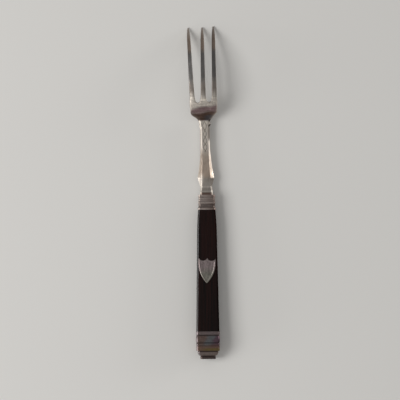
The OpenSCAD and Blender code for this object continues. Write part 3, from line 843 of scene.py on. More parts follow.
def skin(name, rings, marks, around=False):
    """A closed skin over a row of rings: closed in itself if around, else with a pole at each end.

    A mark is one number for each point of each ring.
    """
    count, per = rings.shape[:2]
    ids = np.arange(count * per).reshape(count, per)
    faces = strips(ids)
    points = rings.reshape(-1, 3)
    if around:
        faces.append(strip(ids[-1], ids[0]))
    else:
        poles = np.stack([rings[0].mean(0), rings[-1].mean(0)])
        points = np.concatenate([points, poles])
        for ring, pole in ((ids[0], count * per), (ids[-1], count * per + 1)):
            faces.append(np.stack([ring, np.roll(ring, -1), np.full(per, pole)], 1))
    ends = np.zeros(len(points) - count * per)
    marks = {k: np.append(np.broadcast_to(v, (count, per)), ends) for k, v in marks.items()}
    return solid(name, points, faces, marks)


def band_profile(bands):
    """Profile of turned bands: distance from the front, height, and how bare the metal is worn.

    Each band is (length, height at its start, at its end, swell, wear), the height a straight line
    plus the swell times a half sine. The wear, 0 for dirt and 1 for bare metal, is a fifth less at
    the ends of a band. A running mean rounds the steps between them.
    """
    u = np.linspace(0, 1, 25)
    size, first, second, swell, wear = (column[:, None] for column in np.array(bands, float).T)
    at = (np.cumsum(size)[:, None] - size + size * u).ravel()
    height = (lerp(first, second, u) + swell * np.sin(math.pi * u)).ravel()
    mark = (wear * (0.8 + 0.2 * np.sin(math.pi * u))).ravel()
    even = np.linspace(0, at[-1], int(at[-1] / PROFILE_STEP))
    reach = max(1, round(PROFILE_SOFT / PROFILE_STEP))
    return even, *(running_mean(np.interp(even, at, v), reach, mode="edge") for v in (height, mark))


def ferrule_length(m):
    """Length of the ferrule, the sum of its bands."""
    return 2 * (m.ferrule_lip + m.thin_rib) + 4 * m.rib_gap + m.bold_rib + m.cove_len


def cap_hollow(m):
    """Depth of the cap's hollow: its bands but for the steps, less the thickness of its end wall."""
    return m.flange_len + m.cap_body + m.cap_rib + m.cap_band + 3 * m.groove_len - m.metal_t


def build_ferrule(m, grip):
    """The ferrule: its ribbed outside, its front wall, the round hole and the inside, closed in a loop."""
    at, height, wear = band_profile([
        (m.ferrule_lip, m.lip_h, m.lip_h, 0, 0.6), (m.rib_gap, 0, 0, 0, 0.3),
        (m.thin_rib, 0, 0, m.thin_rib_h, 0.9), (m.rib_gap, 0, 0, 0, 0.33),
        (m.thin_rib, 0, 0, m.thin_rib_h, 0.8), (m.rib_gap, 0, 0, 0, 0.28),
        (m.bold_rib, 0, 0, m.bold_rib_h, 0.8), (m.rib_gap, 0, 0, 0, 0.3),
        (m.cove_len, 0, 0, -m.cove_depth, 0.22), (m.ferrule_lip, m.lip_h, m.lip_h, 0, 0.6),
    ])
    u = at / at[-1]
    outside = turned(-at, bar_rings(
        lerp(m.ferrule_front_w, m.ferrule_back_w, u) / 2 + height,
        lerp(m.ferrule_front_t, m.ferrule_back_t, u) / 2 + height, grip.grip_bevel, MOUNT_ROUND,
    ))
    hollow = tenon_ring(m, grip, m.ferrule_front_w, m.ferrule_front_t, m.metal_t)
    inside = tube(hollow, -at[-1], -m.metal_t)
    rings = np.concatenate([outside, inside, tube(circle_ring(HOLE_R), -m.metal_t, 0)])
    mark = np.concatenate([wear, np.zeros(4)])[:, None]
    # on the ribs and lips, rising towards the upper left bevel: a painted highlight
    worn = np.clip((mark - 0.35) / 0.4, 0, 1) * LEFTWARDS
    return skin("front_ferrule_piece", rings, {"relief": mark, "worn": worn}, around=True)


def build_cap(m, grip):
    """The end cap: the inside of its sleeve, the flange's edge and the moulded outside down to the butt."""
    front_y = -ferrule_length(m) - grip.grip_len
    groove = (m.groove_len, -m.groove_h, -m.groove_h, 0)
    step, end = m.step_in + m.groove_h, m.end_in + END_IN_MORE
    at, height, wear = band_profile([
        (m.flange_len, m.rib_swell, m.rib_swell, 0, 0.6), (*groove, 0.2),
        (m.cap_body, 0, 0, m.body_swell, 0.52), (*groove, 0.28),
        (m.cap_rib, 0, 0, m.rib_swell, 0.55), (*groove, 0.44), (m.cap_band, 0, 0, 0, 0.5),
        (m.groove_len, -step, -step, 0, 0.2), (m.step_len, -m.step_in, -m.end_in, 0.4, 0.84),
        (m.groove_len, -end, -end, 0, 0.05), (m.end_len, -end + 0.1, -end, 0, 0.2),
    ])
    # the outside, with one more ring in the face of the butt
    stand = np.append(height, height[-1] - 0.5)
    bevel = np.append(np.full(len(at), grip.grip_bevel), 0.7)
    outline = bar_rings(m.cap_w / 2 + stand, m.cap_t / 2 + stand, bevel, MOUNT_ROUND)
    outside = turned(front_y - np.append(at, at[-1]), outline)
    hollow = tenon_ring(m, grip, m.cap_w, m.cap_t, m.groove_h + m.metal_t)
    rings = np.concatenate([tube(hollow, front_y - cap_hollow(m), front_y), outside])
    mark = np.concatenate([np.zeros(2), wear, [0.25]])[:, None]
    # painted shade on the upper right bevel, and a painted highlight on the left one but for the grooves
    marks = {"relief": mark - 0.2 * RIGHT_BEVEL, "worn": (mark > 0.3) * LEFT_BEVEL}
    return skin("end_cap_piece", rings, marks)


def grip_half_w(g, y, front_y):
    """Half width of the grip: a straight taper, drawn in over the nose by the square of what is left."""
    u = (front_y - y) / g.grip_len
    nose = np.clip(1 - (front_y - y) / g.grip_nose_len, 0, 1)
    return lerp(g.grip_front_w, g.grip_back_w, u) / 2 - g.grip_nose * nose**2


def grip_half_t(g, y, front_y):
    """Half thickness of the grip: a straight taper."""
    return lerp(g.grip_front_t, g.grip_back_t, (front_y - y) / g.grip_len) / 2


def build_grip(g, m):
    """The wood, from the bottom of its bore outwards: bore, front tenon, grip, back tenon."""
    front_y, bore_y = -ferrule_length(m), -m.metal_t - g.fit_gap
    cap_y = front_y - g.grip_len
    front = tenon_ring(m, g, m.ferrule_front_w, m.ferrule_front_t, m.metal_t + g.fit_gap)
    back = tenon_ring(m, g, m.cap_w, m.cap_t, m.groove_h + m.metal_t + g.fit_gap)
    # the grip is scraped by hand: its ends are rounded, its width wavers and its flats are crowned
    y = np.concatenate([[front_y], np.linspace(front_y - 0.15, cap_y + 0.15, GRIP_ROWS), [cap_y]])
    round_off = np.pad(np.zeros(GRIP_ROWS), 1, constant_values=END_ROUND)
    waver = 0.016 * (np.sin(y * 0.21) + np.sin(y * 0.083 + 1.0)) - 0.032
    half_w, half_t = grip_half_w(g, y, front_y), grip_half_t(g, y, front_y)
    body = turned(y, bar_rings(half_w - round_off + waver, half_t - round_off, g.grip_bevel, WOOD_ROUND))
    share = np.clip(np.abs(body[..., 0]) / half_w[:, None], 0, 1)
    body[..., 2] -= np.sign(body[..., 2]) * CROWN * share**2
    rings = np.concatenate([
        tube(circle_ring(g.bore_d / 2), bore_y - g.bore_len, bore_y), tube(front, bore_y, front_y),
        body, tube(back, cap_y, cap_y - cap_hollow(m) + g.fit_gap),
    ])
    return skin("wooden_handle_piece", rings, {"worn": 0.15 + 0.85 * LEFT_BEVEL - 0.15 * RIGHT_BEVEL})


# Shield

def shield_outline(s, grow=0.0):
    """Outline of the shield, anticlockwise: straight upper sides, round lower sides, two round hollows.

    Its local y runs towards the points of the fork, and its top corners lie at y = 0.
    """
    half, side_r = s.shield_w / 2 + grow, s.shield_r + grow
    middle = s.shield_w / 4
    full_r = (middle**2 + s.scallop**2) / (2 * s.scallop)
    hollow_r = full_r - grow
    turn = np.linspace(math.acos((side_r - half) / side_r), 0, 60)
    side = np.stack([half - side_r + side_r * np.cos(turn), -s.shield_side - side_r * np.sin(turn)], 1)
    up = np.stack([np.full(16, half), np.linspace(-s.shield_side, 0, 18)[1:-1]], 1)
    ends = ((half - middle) / hollow_r, -middle / hollow_r)
    turn = np.linspace(*(math.asin(np.clip(end, -1, 1)) for end in ends), 36)
    hollow = np.stack([middle + hollow_r * np.sin(turn), full_r - s.scallop - hollow_r * np.cos(turn)], 1)
    right = np.concatenate([side, up, hollow])
    return np.concatenate([right, right[1:-1][::-1] * (-1, 1)])


def on_grip(points, s, g, front_y):
    """From the shield's own frame to the handle's: turned in the wood, tipped with its face, moved up."""
    x, y, z = points.T
    c, w = math.cos(-s.shield_turn), math.sin(-s.shield_turn)
    x, y = x * c - y * w, x * w + y * c
    tilt = -math.atan((g.grip_back_t - g.grip_front_t) / 2 / g.grip_len)
    y, z = y * math.cos(tilt) - z * math.sin(tilt), y * math.sin(tilt) + z * math.cos(tilt)
    return np.stack([x + s.shield_x, y - s.shield_y, z + grip_half_t(g, -s.shield_y, front_y)], 1)


def prism(name, outline, low, high, set_up):
    """A straight-sided solid over an outline."""
    n = len(outline)
    ring = np.arange(n)
    lid = fill(outline)
    points = np.concatenate([np.column_stack([outline, np.full(n, z)]) for z in (low, high)])
    return solid(name, set_up(points), [lid + n, lid[:, ::-1], strip(ring, ring + n)])


def within(points, outline):
    """Whether a walk to the right from each point crosses the outline an odd number of times."""
    a, b = outline, np.roll(outline, -1, axis=0)
    x, y = points[:, :1], points[:, 1:]
    crossed = (a[:, 1] > y) != (b[:, 1] > y)
    rise = np.where(b[:, 1] == a[:, 1], 1, b[:, 1] - a[:, 1])
    hit = a[:, 0] + (y - a[:, 1]) * (b[:, 0] - a[:, 0]) / rise
    return (crossed & (hit > x)).sum(1) % 2 == 1


def build_shield(s, set_up):
    """The shield: a bevel, a raised border, a lower field that is slightly uneven, and two pins behind."""
    outline = shield_outline(s)
    inner = grid(-s.shield_w / 2, s.shield_w / 2, -17.5, 0.2, SHIELD_STEP)
    far, _ = nearest(inner, np.concatenate([outline, outline[:1]]))
    kept = within(inner, outline) & (far > 0.07)
    inner, n = inner[kept], len(outline)
    far = np.concatenate([np.zeros(n), far[kept]])
    flat = np.concatenate([outline, inner])
    rim = s.shield_proud - s.shield_bevel / 2
    bevel = np.minimum(far / s.shield_bevel, 1)
    field = ease(s.border, s.border + 0.3, far)
    uneven = 0.02 * np.sin(flat[:, 0] * 1.3 + 0.8)
    height = lerp(rim, s.shield_proud, bevel) + field * (uneven - FIELD_DEPTH)
    points = np.concatenate([
        np.column_stack([flat, height]), np.column_stack([outline, np.full(n, -s.shield_t)]),
    ])
    ring, low = np.arange(n), len(flat)
    faces = [fill(outline, inner), fill(outline)[:, ::-1] + low, strip(ring + low, ring)]
    # bare on the border, with dirt on the bevel, and darker still on its right
    relief = 0.5 + 0.5 * (1 - field) - 0.75 * (1 - ease(0.15, 0.45, far))
    relief -= np.where(flat[:, 0] > 0, 0.4, 0.12) * (1 - ease(0.3, 0.5, far))
    marks = {"relief": np.concatenate([relief, np.zeros(n)])}
    shield = solid("shield_inlay_piece", set_up(points), faces, marks)
    turn = np.linspace(0, 2 * math.pi, 25)[:-1]
    round_pin = s.pin_d / 2 * np.stack([np.cos(turn), np.sin(turn)], 1)
    for pin_y in (-s.shield_side - s.pin_pitch, -s.shield_side):
        pin = prism("pin", round_pin + (0, pin_y), -s.shield_t - s.pin_len, -s.shield_t + 0.1, set_up)
        combine(shield, pin, "UNION")
    return shield


# Materials

# Settings for a mask with soft ends, for a colour laid over another, and for two colours multiplied
SOFT = {"interpolation_type": "SMOOTHSTEP"}
OVER = {"data_type": "RGBA", "out": 2}
TIMES = {"data_type": "RGBA", "blend_type": "MULTIPLY", "out": 2}

# Where the films of tarnish begin and end along the head, and how far their borders wander, in mm
FILM_FROM = 40
FILM_TO = 100
WANDER = 4
# The same for the tints down the shank, which don't wander
SHANK_FROM = -2
SHANK_TO = 44


def plug(tree, node, inputs):
    """Fills a node's inputs, each with a value or with a socket to link."""
    for key, value in inputs.items():
        if isinstance(value, bpy.types.NodeSocket):
            tree.links.new(value, node.inputs[key])
        else:
            node.inputs[key].default_value = value


def add(tree, kind, inputs, out=0, stops=(), **settings):
    """Adds one node with its settings, inputs and colour stops. Returns one output, or the node for None."""
    made = tree.nodes.new("ShaderNode" + kind)
    for key, value in settings.items():
        setattr(made, key, value)
    plug(tree, made, inputs)
    for i, (at, shade) in enumerate(stops):
        element = made.color_ramp.elements[i] if i < 2 else made.color_ramp.elements.new(at)
        element.position, element.color = at, shade
    return made if out is None else made.outputs[out]


def start_material(name, metallic):
    """A material with one Principled shader: itself, its tree, the shader and the object coordinates."""
    material = bpy.data.materials.new(name)
    material.use_nodes = True
    tree = material.node_tree
    tree.nodes.clear()
    shader = add(tree, "BsdfPrincipled", {"Metallic": metallic}, out=None)
    add(tree, "OutputMaterial", {"Surface": shader.outputs[0]}, out=None)
    return material, tree, shader, add(tree, "TexCoord", {}, "Object")


def per_mm(millimetres):
    """Scale of a pattern whose features are that many millimetres wide, on coordinates in metres."""
    return 1 / (millimetres * MM)


def grey(value):
    """A neutral linear colour."""
    return (value, value, value, 1)


def toned(tree, base, pattern, low, high, dark, light, mask=1.0):
    """A colour times a tone that runs from dark to light while a pattern runs from low to high."""
    tone = add(tree, "MapRange", {0: pattern, 1: low, 2: high, 3: dark, 4: light})
    return add(tree, "Mix", {0: mask, 6: base, 7: tone}, **TIMES)


def distance(tree, value, other):
    """The distance between two numbers, |value - other|."""
    gap = add(tree, "Math", {0: value, 1: other}, operation="SUBTRACT")
    return add(tree, "Math", {0: gap}, operation="ABSOLUTE")


def head_films(tree, x, y, clouds, finish):
    """Films of tarnish along palm and tines, with borders that wander and lean across, and painted light in
    them: a painted dark reflection on the slope, painted shade where the palm starts to fall and a painted
    highlight at the roots.
    """
    leaning = add(tree, "Math", {0: x, 1: -0.12, 2: y}, operation="MULTIPLY_ADD")
    wander = add(tree, "Math", {0: clouds, 1: WANDER * MM, 2: leaning}, operation="MULTIPLY_ADD")
    mean = WANDER / 2
    along = add(tree, "MapRange", {0: wander, 1: (FILM_FROM + mean) * MM, 2: (FILM_TO + mean) * MM})
    # from 40 to 47.2 the slope is painted dark as a painted reflection, from 48.4 to 50.3 the rosy tarnish is
    # darkened as painted shade where the palm starts to fall, and from 55.5 to 57.8 the light steel is a
    # painted highlight
    stops = [
        (40, finish.steel_dark), (47.2, finish.steel_dark), (48.4, finish.steel_rose),
        (50.3, finish.steel_rose), (51.8, finish.steel), (54, finish.steel), (55.5, finish.steel_light),
        (57.8, finish.steel_light), (61.5, finish.steel_worn), (69, finish.steel_grey),
        (83.5, finish.steel_grey), (86.5, finish.steel_brown), (93, finish.steel_brown),
        (99, finish.steel_worn),
    ]
    shares = [((place_y - FILM_FROM) / (FILM_TO - FILM_FROM), shade) for place_y, shade in stops]
    film = add(tree, "ValToRGB", {0: along}, stops=shares)
    # a bluish tint on the right of the slope, part of the painted dark reflection there
    rightwards = add(tree, "Math", {0: clouds, 1: WANDER * MM, 2: x}, operation="MULTIPLY_ADD")
    on_right = add(tree, "MapRange", {0: rightwards, 1: 1.2 * MM, 2: 4.5 * MM, 4: 0.8}, **SOFT)
    below = add(tree, "MapRange", {0: wander, 1: 48.2 * MM, 2: 47 * MM}, **SOFT)
    slate = add(tree, "Math", {0: on_right, 1: below}, operation="MULTIPLY")
    film = add(tree, "Mix", {0: slate, 6: film, 7: finish.steel_slate}, **OVER)
    # the left tine is the cleanest and the right one the dullest
    left = add(tree, "MapRange", {0: x, 1: -3 * MM, 2: -6 * MM, 4: 0.7})
    behind_point = add(tree, "MapRange", {0: y, 1: 84 * MM, 2: 77 * MM, 3: 0.1})
    left_clean = add(tree, "Math", {0: left, 1: behind_point, 2: 1.32}, operation="MULTIPLY_ADD")
    right_dull = add(tree, "MapRange", {0: x, 1: 3.5 * MM, 2: 5.5 * MM, 4: -0.3})
    sides = add(tree, "Math", {0: left_clean, 1: right_dull}, operation="ADD")
    root = add(tree, "MapRange", {0: x, 1: -5.5 * MM, 2: -3 * MM, 3: 0.95, 4: 0.62})
    outward = add(tree, "MapRange", {0: y, 1: 60 * MM, 2: 67 * MM})
    on_tine = add(tree, "MapRange", {0: y, 1: 55.3 * MM, 2: 58 * MM})
    from_root = add(tree, "Mix", {0: outward, 2: root, 3: sides})
    clean = add(tree, "Mix", {0: on_tine, 2: 1.0, 3: from_root})
    return add(tree, "Mix", {0: 1.0, 6: film, 7: clean}, **TIMES)


def shank_films(tree, y, clouds, finish):
    """The shank in brown patches, darker towards the handle but for two light lines at its waist and foot."""
    patch = add(tree, "MapRange", {0: clouds, 1: 0.5, 2: 0.72, 4: 0.5}, **SOFT)
    base = add(tree, "Mix", {0: patch, 6: finish.steel, 7: finish.steel_brown}, **OVER)
    along = add(tree, "MapRange", {0: y, 1: SHANK_FROM * MM, 2: SHANK_TO * MM})
    tints = [
        (0.2, grey(0.45)), (0.7, grey(0.8)), (1.3, grey(0.5)), (2.6, grey(0.5)), (3.4, grey(0.82)),
        (4.3, grey(0.62)), (8, grey(0.62)), (10, (0.77, 0.68, 0.62, 1)), (21, (0.78, 0.71, 0.66, 1)),
        (27, grey(0.97)), (42, grey(1.0)),
    ]
    shares = [((place_y - SHANK_FROM) / (SHANK_TO - SHANK_FROM), tint) for place_y, tint in tints]
    clean = add(tree, "ValToRGB", {0: along}, stops=shares)
    return add(tree, "Mix", {0: 1.0, 6: base, 7: clean}, **TIMES)


def long_scratch(tree, x, y):
    """Mask of one long scratch on the palm: y = 47.3 + 0.06 d + 0.0075 d^2, in mm, d from its left end."""
    d = add(tree, "Math", {0: x, 1: 6.5 * MM}, operation="ADD")
    slope = add(tree, "Math", {0: d, 1: 0.0075 / MM, 2: 0.06}, operation="MULTIPLY_ADD")
    curve = add(tree, "Math", {0: slope, 1: d, 2: 47.3 * MM}, operation="MULTIPLY_ADD")
    line = add(tree, "MapRange", {0: distance(tree, y, curve), 1: 0.35 * MM, 2: 0.1 * MM, 4: 0.5})
    end = add(tree, "MapRange", {0: d, 1: 13 * MM, 2: 9.5 * MM})
    return add(tree, "Math", {0: line, 1: end}, operation="MULTIPLY")


def old_steel(finish):
    """Forged carbon steel, filed and long used: satin, bare on the edges, in films of grey and brown, with
    painted shade and painted highlights laid into its colour.
    """
    material, tree, shader, where = start_material("Forged carbon steel, worn and tarnished", 1.0)
    axes = add(tree, "SeparateXYZ", {0: where}, out=None).outputs
    x, y = axes[0], axes[1]
    clouds = add(tree, "TexNoise", {"Vector": where, "Scale": per_mm(6), "Detail": 5, "Roughness": 0.6})
    # streaks 0.9 mm wide, drawn out along the head
    drawn = add(tree, "Mapping", {"Vector": where, "Scale": (1, 0.12, 1)})
    streaks = add(tree, "TexNoise", {"Vector": drawn, "Scale": per_mm(0.9), "Detail": 4, "Roughness": 0.65})
    # scratches across the palm, and small dark pits
    crosswise = add(tree, "Mapping", {"Vector": where, "Rotation": (0, 0, 0.14), "Scale": (0.1, 1, 0.3)})
    scratches = add(
        tree, "TexNoise", {"Vector": crosswise, "Scale": per_mm(0.9), "Detail": 4, "Roughness": 0.7})
    pits = add(tree, "TexNoise", {"Vector": where, "Scale": per_mm(0.9), "Detail": 3, "Roughness": 0.7})
    film = head_films(tree, x, y, clouds, finish)
    shank = shank_films(tree, y, clouds, finish)
    palm_side = add(tree, "MapRange", {0: y, 1: 42.8 * MM, 2: 43.6 * MM}, **SOFT)
    base = add(tree, "Mix", {0: palm_side, 6: shank, 7: film}, **OVER)
    # darker where the neck stands on the ferrule
    foot = add(tree, "MapRange", {0: y, 1: 0.5 * MM, 2: -0.5 * MM, 4: 0.95}, **SOFT)
    base = add(tree, "Mix", {0: foot, 6: base, 7: finish.steel_dark}, **OVER)
    base = toned(tree, base, streaks, 0.3, 0.7, 0.8, 1.12)
    off_palm = distance(tree, y, 51 * MM)
    on_palm = add(tree, "MapRange", {0: off_palm, 1: 8.5 * MM, 2: 7 * MM}, **SOFT)
    base = toned(tree, base, scratches, 0.35, 0.65, 0.68, 1.2, on_palm)
    # pits, the long scratch, bare metal along the worn edges with a painted highlight below the knop, and
    # painted shade on the bevels and round the tines with the engraved lines
    in_pits = add(tree, "MapRange", {0: pits, 1: 0.62, 2: 0.7, 4: 0.5})
    edges = add(tree, "Attribute", {}, "Fac", attribute_name="worn")
    cut = add(tree, "Attribute", {}, "Fac", attribute_name="cut")
    shade_and_engraving = add(tree, "Math", {0: cut, 1: 0.85}, operation="MULTIPLY")
    for mask, shade in (
        (in_pits, finish.steel_dark), (long_scratch(tree, x, y), finish.steel_worn),
        (edges, finish.steel), (shade_and_engraving, finish.steel_deep),
    ):
        base = add(tree, "Mix", {0: mask, 6: base, 7: shade}, **OVER)
    # satin, and duller where the tines begin, so that the light spreads there
    satin = add(tree, "MapRange", {0: clouds, 1: 0.3, 2: 0.7, 3: 0.3, 4: 0.42})
    off_roots = distance(tree, y, 55 * MM)
    duller = add(tree, "MapRange", {0: off_roots, 1: 8 * MM, 2: 2 * MM, 4: 0.13}, **SOFT)
    rough = add(tree, "Math", {0: satin, 1: duller}, operation="ADD")
    # file marks and pits 0.5 mm apart, coarser than real so that they show
    marks = add(tree, "TexNoise", {"Vector": where, "Scale": per_mm(0.5), "Detail": 4, "Roughness": 0.7})
    both = add(tree, "Math", {0: streaks, 1: marks}, operation="ADD")
    bump = add(tree, "Bump", {"Strength": 0.3, "Distance": 0.08 * MM, "Height": both})
    plug(tree, shader, {"Base Color": base, "Roughness": rough, "Normal": bump})
    return material


def ebony(finish):
    """Ebony, scraped and hand polished: nearly black, fine straight grain, a soft gloss."""
    material, tree, shader, where = start_material("Ebony, hand polished", 0.0)
    drawn = add(tree, "Mapping", {"Vector": where, "Scale": (1, 0.035, 1)})
    grain = add(tree, "TexNoise", {"Vector": drawn, "Scale": per_mm(0.9), "Detail": 6, "Roughness": 0.62})
    broad = add(tree, "TexNoise", {"Vector": drawn, "Scale": per_mm(3.5), "Detail": 2})
    mixed = add(tree, "Math", {0: grain, 1: broad}, operation="ADD")
    tone = add(tree, "MapRange", {0: mixed, 1: 0.8, 2: 1.2})
    base = add(tree, "Mix", {0: tone, 6: finish.wood, 7: finish.wood_streak}, **OVER)
    # open pores: short dark lines 0.3 mm wide, which also dull the polish
    pore_map = add(tree, "Mapping", {"Vector": where, "Scale": (1, 0.09, 1)})
    pores = add(tree, "TexNoise", {"Vector": pore_map, "Scale": per_mm(0.3), "Detail": 2})
    rough = add(tree, "MapRange", {0: pores, 1: 0.35, 2: 0.7, 3: 0.22, 4: 0.36})
    bump = add(tree, "Bump", {"Strength": 0.25, "Distance": 0.06 * MM, "Height": pores})
    # the hand has polished the left bevel most
    edges = add(tree, "Attribute", {}, "Fac", attribute_name="worn")
    gloss = add(tree, "MapRange", {0: edges, 3: 0.01, 4: 0.85})
    plug(tree, shader, {
        "Base Color": base, "Roughness": rough, "Specular IOR Level": gloss, "Normal": bump,
    })
    return material


def silver_skin(tree, shader, where, base, edge, finish, speck_mm, dirt, wear):
    """Finishes silver plate: dark in its grooves, worn bright on its ribs, lighter on its left edges as a
    painted highlight, specked, satin.

    edge is the colour of the painted highlight on its left edges, and dirt and wear say how much grooves and
    ribs stand out.
    """
    relief = add(tree, "Attribute", {}, "Fac", attribute_name="relief")
    groove = add(tree, "MapRange", {0: relief, 1: 0.45, 2: 0.1, 4: dirt})
    rib = add(tree, "MapRange", {0: relief, 1: 0.55, 2: 1.0, 4: wear})
    # the worn mark lays the edge colour on the left edges as a painted highlight
    worn = add(tree, "Attribute", {}, "Fac", attribute_name="worn")
    edges = add(tree, "Math", {0: worn, 1: 0.55}, operation="MULTIPLY")
    for mask, shade in ((groove, finish.silver_dark), (rib, finish.silver), (edges, edge)):
        base = add(tree, "Mix", {0: mask, 6: base, 7: shade}, **OVER)
    specks = add(
        tree, "TexNoise", {"Vector": where, "Scale": per_mm(speck_mm), "Detail": 4, "Roughness": 0.7})
    base = toned(tree, base, specks, 0.3, 0.7, 0.74, 1.18)
    rough = add(tree, "MapRange", {0: specks, 1: 0.3, 2: 0.7, 3: 0.28, 4: 0.42})
    bump = add(tree, "Bump", {"Strength": 0.3, "Distance": 0.05 * MM, "Height": specks})
    plug(tree, shader, {"Base Color": base, "Roughness": rough, "Normal": bump})


def ferrule_silver(finish):
    """Silver plate on a rolled sleeve: satin, rosy grey tarnish in clouds 2 mm wide, drawn round it, painted
    lighter towards the left as painted light.
    """
    material, tree, shader, where = start_material("Silver plate, rosy tarnish", 1.0)
    across = add(tree, "Mapping", {"Vector": where, "Scale": (0.3, 1, 0.3)})
    clouds = add(tree, "TexNoise", {"Vector": across, "Scale": per_mm(2.2), "Detail": 5, "Roughness": 0.62})
    # painted light: lighter towards the left, where the light falls
    x = add(tree, "SeparateXYZ", {0: where})
    lit_leftwards = add(tree, "Math", {0: x, 1: -0.045 / MM, 2: clouds}, operation="MULTIPLY_ADD")
    mask = add(tree, "MapRange", {0: lit_leftwards, 1: 0.24, 2: 0.6}, **SOFT)
    base = add(tree, "Mix", {0: mask, 6: finish.silver_rose, 7: finish.silver}, **OVER)
    silver_skin(tree, shader, where, base, finish.silver_bare, finish, 0.6, 0.85, 0.9)
    return material


def shield_silver(finish):
    """Sheet silver, cut and burnished: mottled rosy and grey, finely scratched, brighter round the border."""
    material, tree, shader, where = start_material("Sheet silver, burnished and scratched", 1.0)
    clouds = add(tree, "TexNoise", {"Vector": where, "Scale": per_mm(3.5), "Detail": 4, "Roughness": 0.6})
    y = add(tree, "SeparateXYZ", {0: where}, 1)
    low = add(tree, "Math", {0: clouds, 1: 6 * MM, 2: y}, operation="MULTIPLY_ADD")
    mask = add(tree, "MapRange", {0: low, 1: -41 * MM, 2: -46 * MM}, **SOFT)
    base = add(tree, "Mix", {0: mask, 6: finish.shield_rosy, 7: finish.shield_grey}, **OVER)
    # scratches 0.5 mm apart that run aslant, coarser than real so that they show
    aslant = add(tree, "Mapping", {"Vector": where, "Rotation": (0, 0, 0.6), "Scale": (1, 0.12, 1)})
    scratches = add(
        tree, "TexNoise", {"Vector": aslant, "Scale": per_mm(0.5), "Detail": 4, "Roughness": 0.75})
    base = toned(tree, base, scratches, 0.32, 0.68, 0.62, 1.3)
    silver_skin(tree, shader, where, base, base, finish, 1.0, 0.9, 0.15)
    return material


def cap_silver(finish):
    """Silver plate under old lacquer: thin films of tarnish in brown, blue, violet and gold."""
    material, tree, shader, where = start_material("Silver plate, iridescent tarnish", 1.0)
    axes = add(tree, "SeparateXYZ", {0: where}, out=None).outputs
    across = add(tree, "Mapping", {"Vector": where, "Scale": (0.45, 1, 0.45)})
    clouds = add(tree, "TexNoise", {"Vector": across, "Scale": per_mm(3.2), "Detail": 5, "Roughness": 0.6})
    # brown on the left, blue-grey in the middle, violet on the right, all slanting
    slant = add(tree, "Math", {0: axes[1], 1: -0.35, 2: axes[0]}, operation="MULTIPLY_ADD")
    side = add(tree, "Math", {0: clouds, 1: 8 * MM, 2: slant}, operation="MULTIPLY_ADD")
    rightwards = add(tree, "MapRange", {0: side, 1: 31 * MM, 2: 44 * MM})
    base = add(tree, "ValToRGB", {0: rightwards}, stops=[
        (0.0, finish.cap_brown), (0.25, finish.cap_brown), (0.42, finish.cap_blue),
        (0.58, finish.cap_blue), (0.78, finish.cap_violet), (1.0, finish.cap_violet),
    ])
    # coppery on the plain band, golden towards its lower right, rosy grey on the flange and the steps
    drift = add(tree, "Math", {0: clouds, 1: 3 * MM, 2: axes[1]}, operation="MULTIPLY_ADD")
    on_band = add(tree, "MapRange", {0: drift, 1: -89 * MM, 2: -90.8 * MM, 4: 0.8}, **SOFT)
    low = add(tree, "MapRange", {0: drift, 1: -91.2 * MM, 2: -92.4 * MM}, **SOFT)
    right = add(tree, "MapRange", {0: side, 1: 34 * MM, 2: 38 * MM})
    gilt = add(tree, "Math", {0: low, 1: right}, operation="MULTIPLY")
    flange = add(tree, "MapRange", {0: axes[1], 1: -86 * MM, 2: -85.6 * MM, 4: 0.9})
    steps = add(tree, "MapRange", {0: axes[1], 1: -94.8 * MM, 2: -95.1 * MM, 4: 0.8})
    ends = add(tree, "Math", {0: flange, 1: steps}, operation="ADD")
    for mask, shade in ((on_band, finish.cap_copper), (gilt, finish.cap_gold), (ends, finish.cap_grey)):
        base = add(tree, "Mix", {0: mask, 6: base, 7: shade}, **OVER)
    silver_skin(tree, shader, where, base, finish.silver_edge, finish, 0.8, 0.8, 0.4)
    return material


def resin(finish):
    """Cutler's resin, run in hot: matt, brown, with fine bubbles."""
    material, tree, shader, where = start_material("Cutler's resin, cast in the bore", 0.0)
    clouds = add(tree, "TexNoise", {"Vector": where, "Scale": per_mm(1.5), "Detail": 4})
    base = toned(tree, finish.cement, clouds, 0.3, 0.7, 0.7, 1.2)
    plug(tree, shader, {"Base Color": base, "Roughness": 0.7})
    return material


# Operators

class FORK_OT_head(bpy.types.Operator):
    """Builds the forged steel head with its tang"""

    bl_idname = "fork.head"
    bl_label = "Steel head"

    def execute(self, context):
        """Builds the head and gives it its finish."""
        scene = context.scene
        place(build_head(in_mm(scene.fork_head)), "steel_head", old_steel(scene.fork_finish))
        return {"FINISHED"}


class FORK_OT_mounts(bpy.types.Operator):
    """Builds the ferrule and the end cap"""

    bl_idname = "fork.mounts"
    bl_label = "Ferrule and cap"

    def execute(self, context):
        """Builds both mounts and gives them their finishes."""
        scene = context.scene
        mounts, grip = in_mm(scene.fork_mounts), in_mm(scene.fork_grip)
        ferrule, cap = build_ferrule(mounts, grip), build_cap(mounts, grip)
        place(ferrule, "front_ferrule", ferrule_silver(scene.fork_finish))
        place(cap, "end_cap", cap_silver(scene.fork_finish))
        return {"FINISHED"}


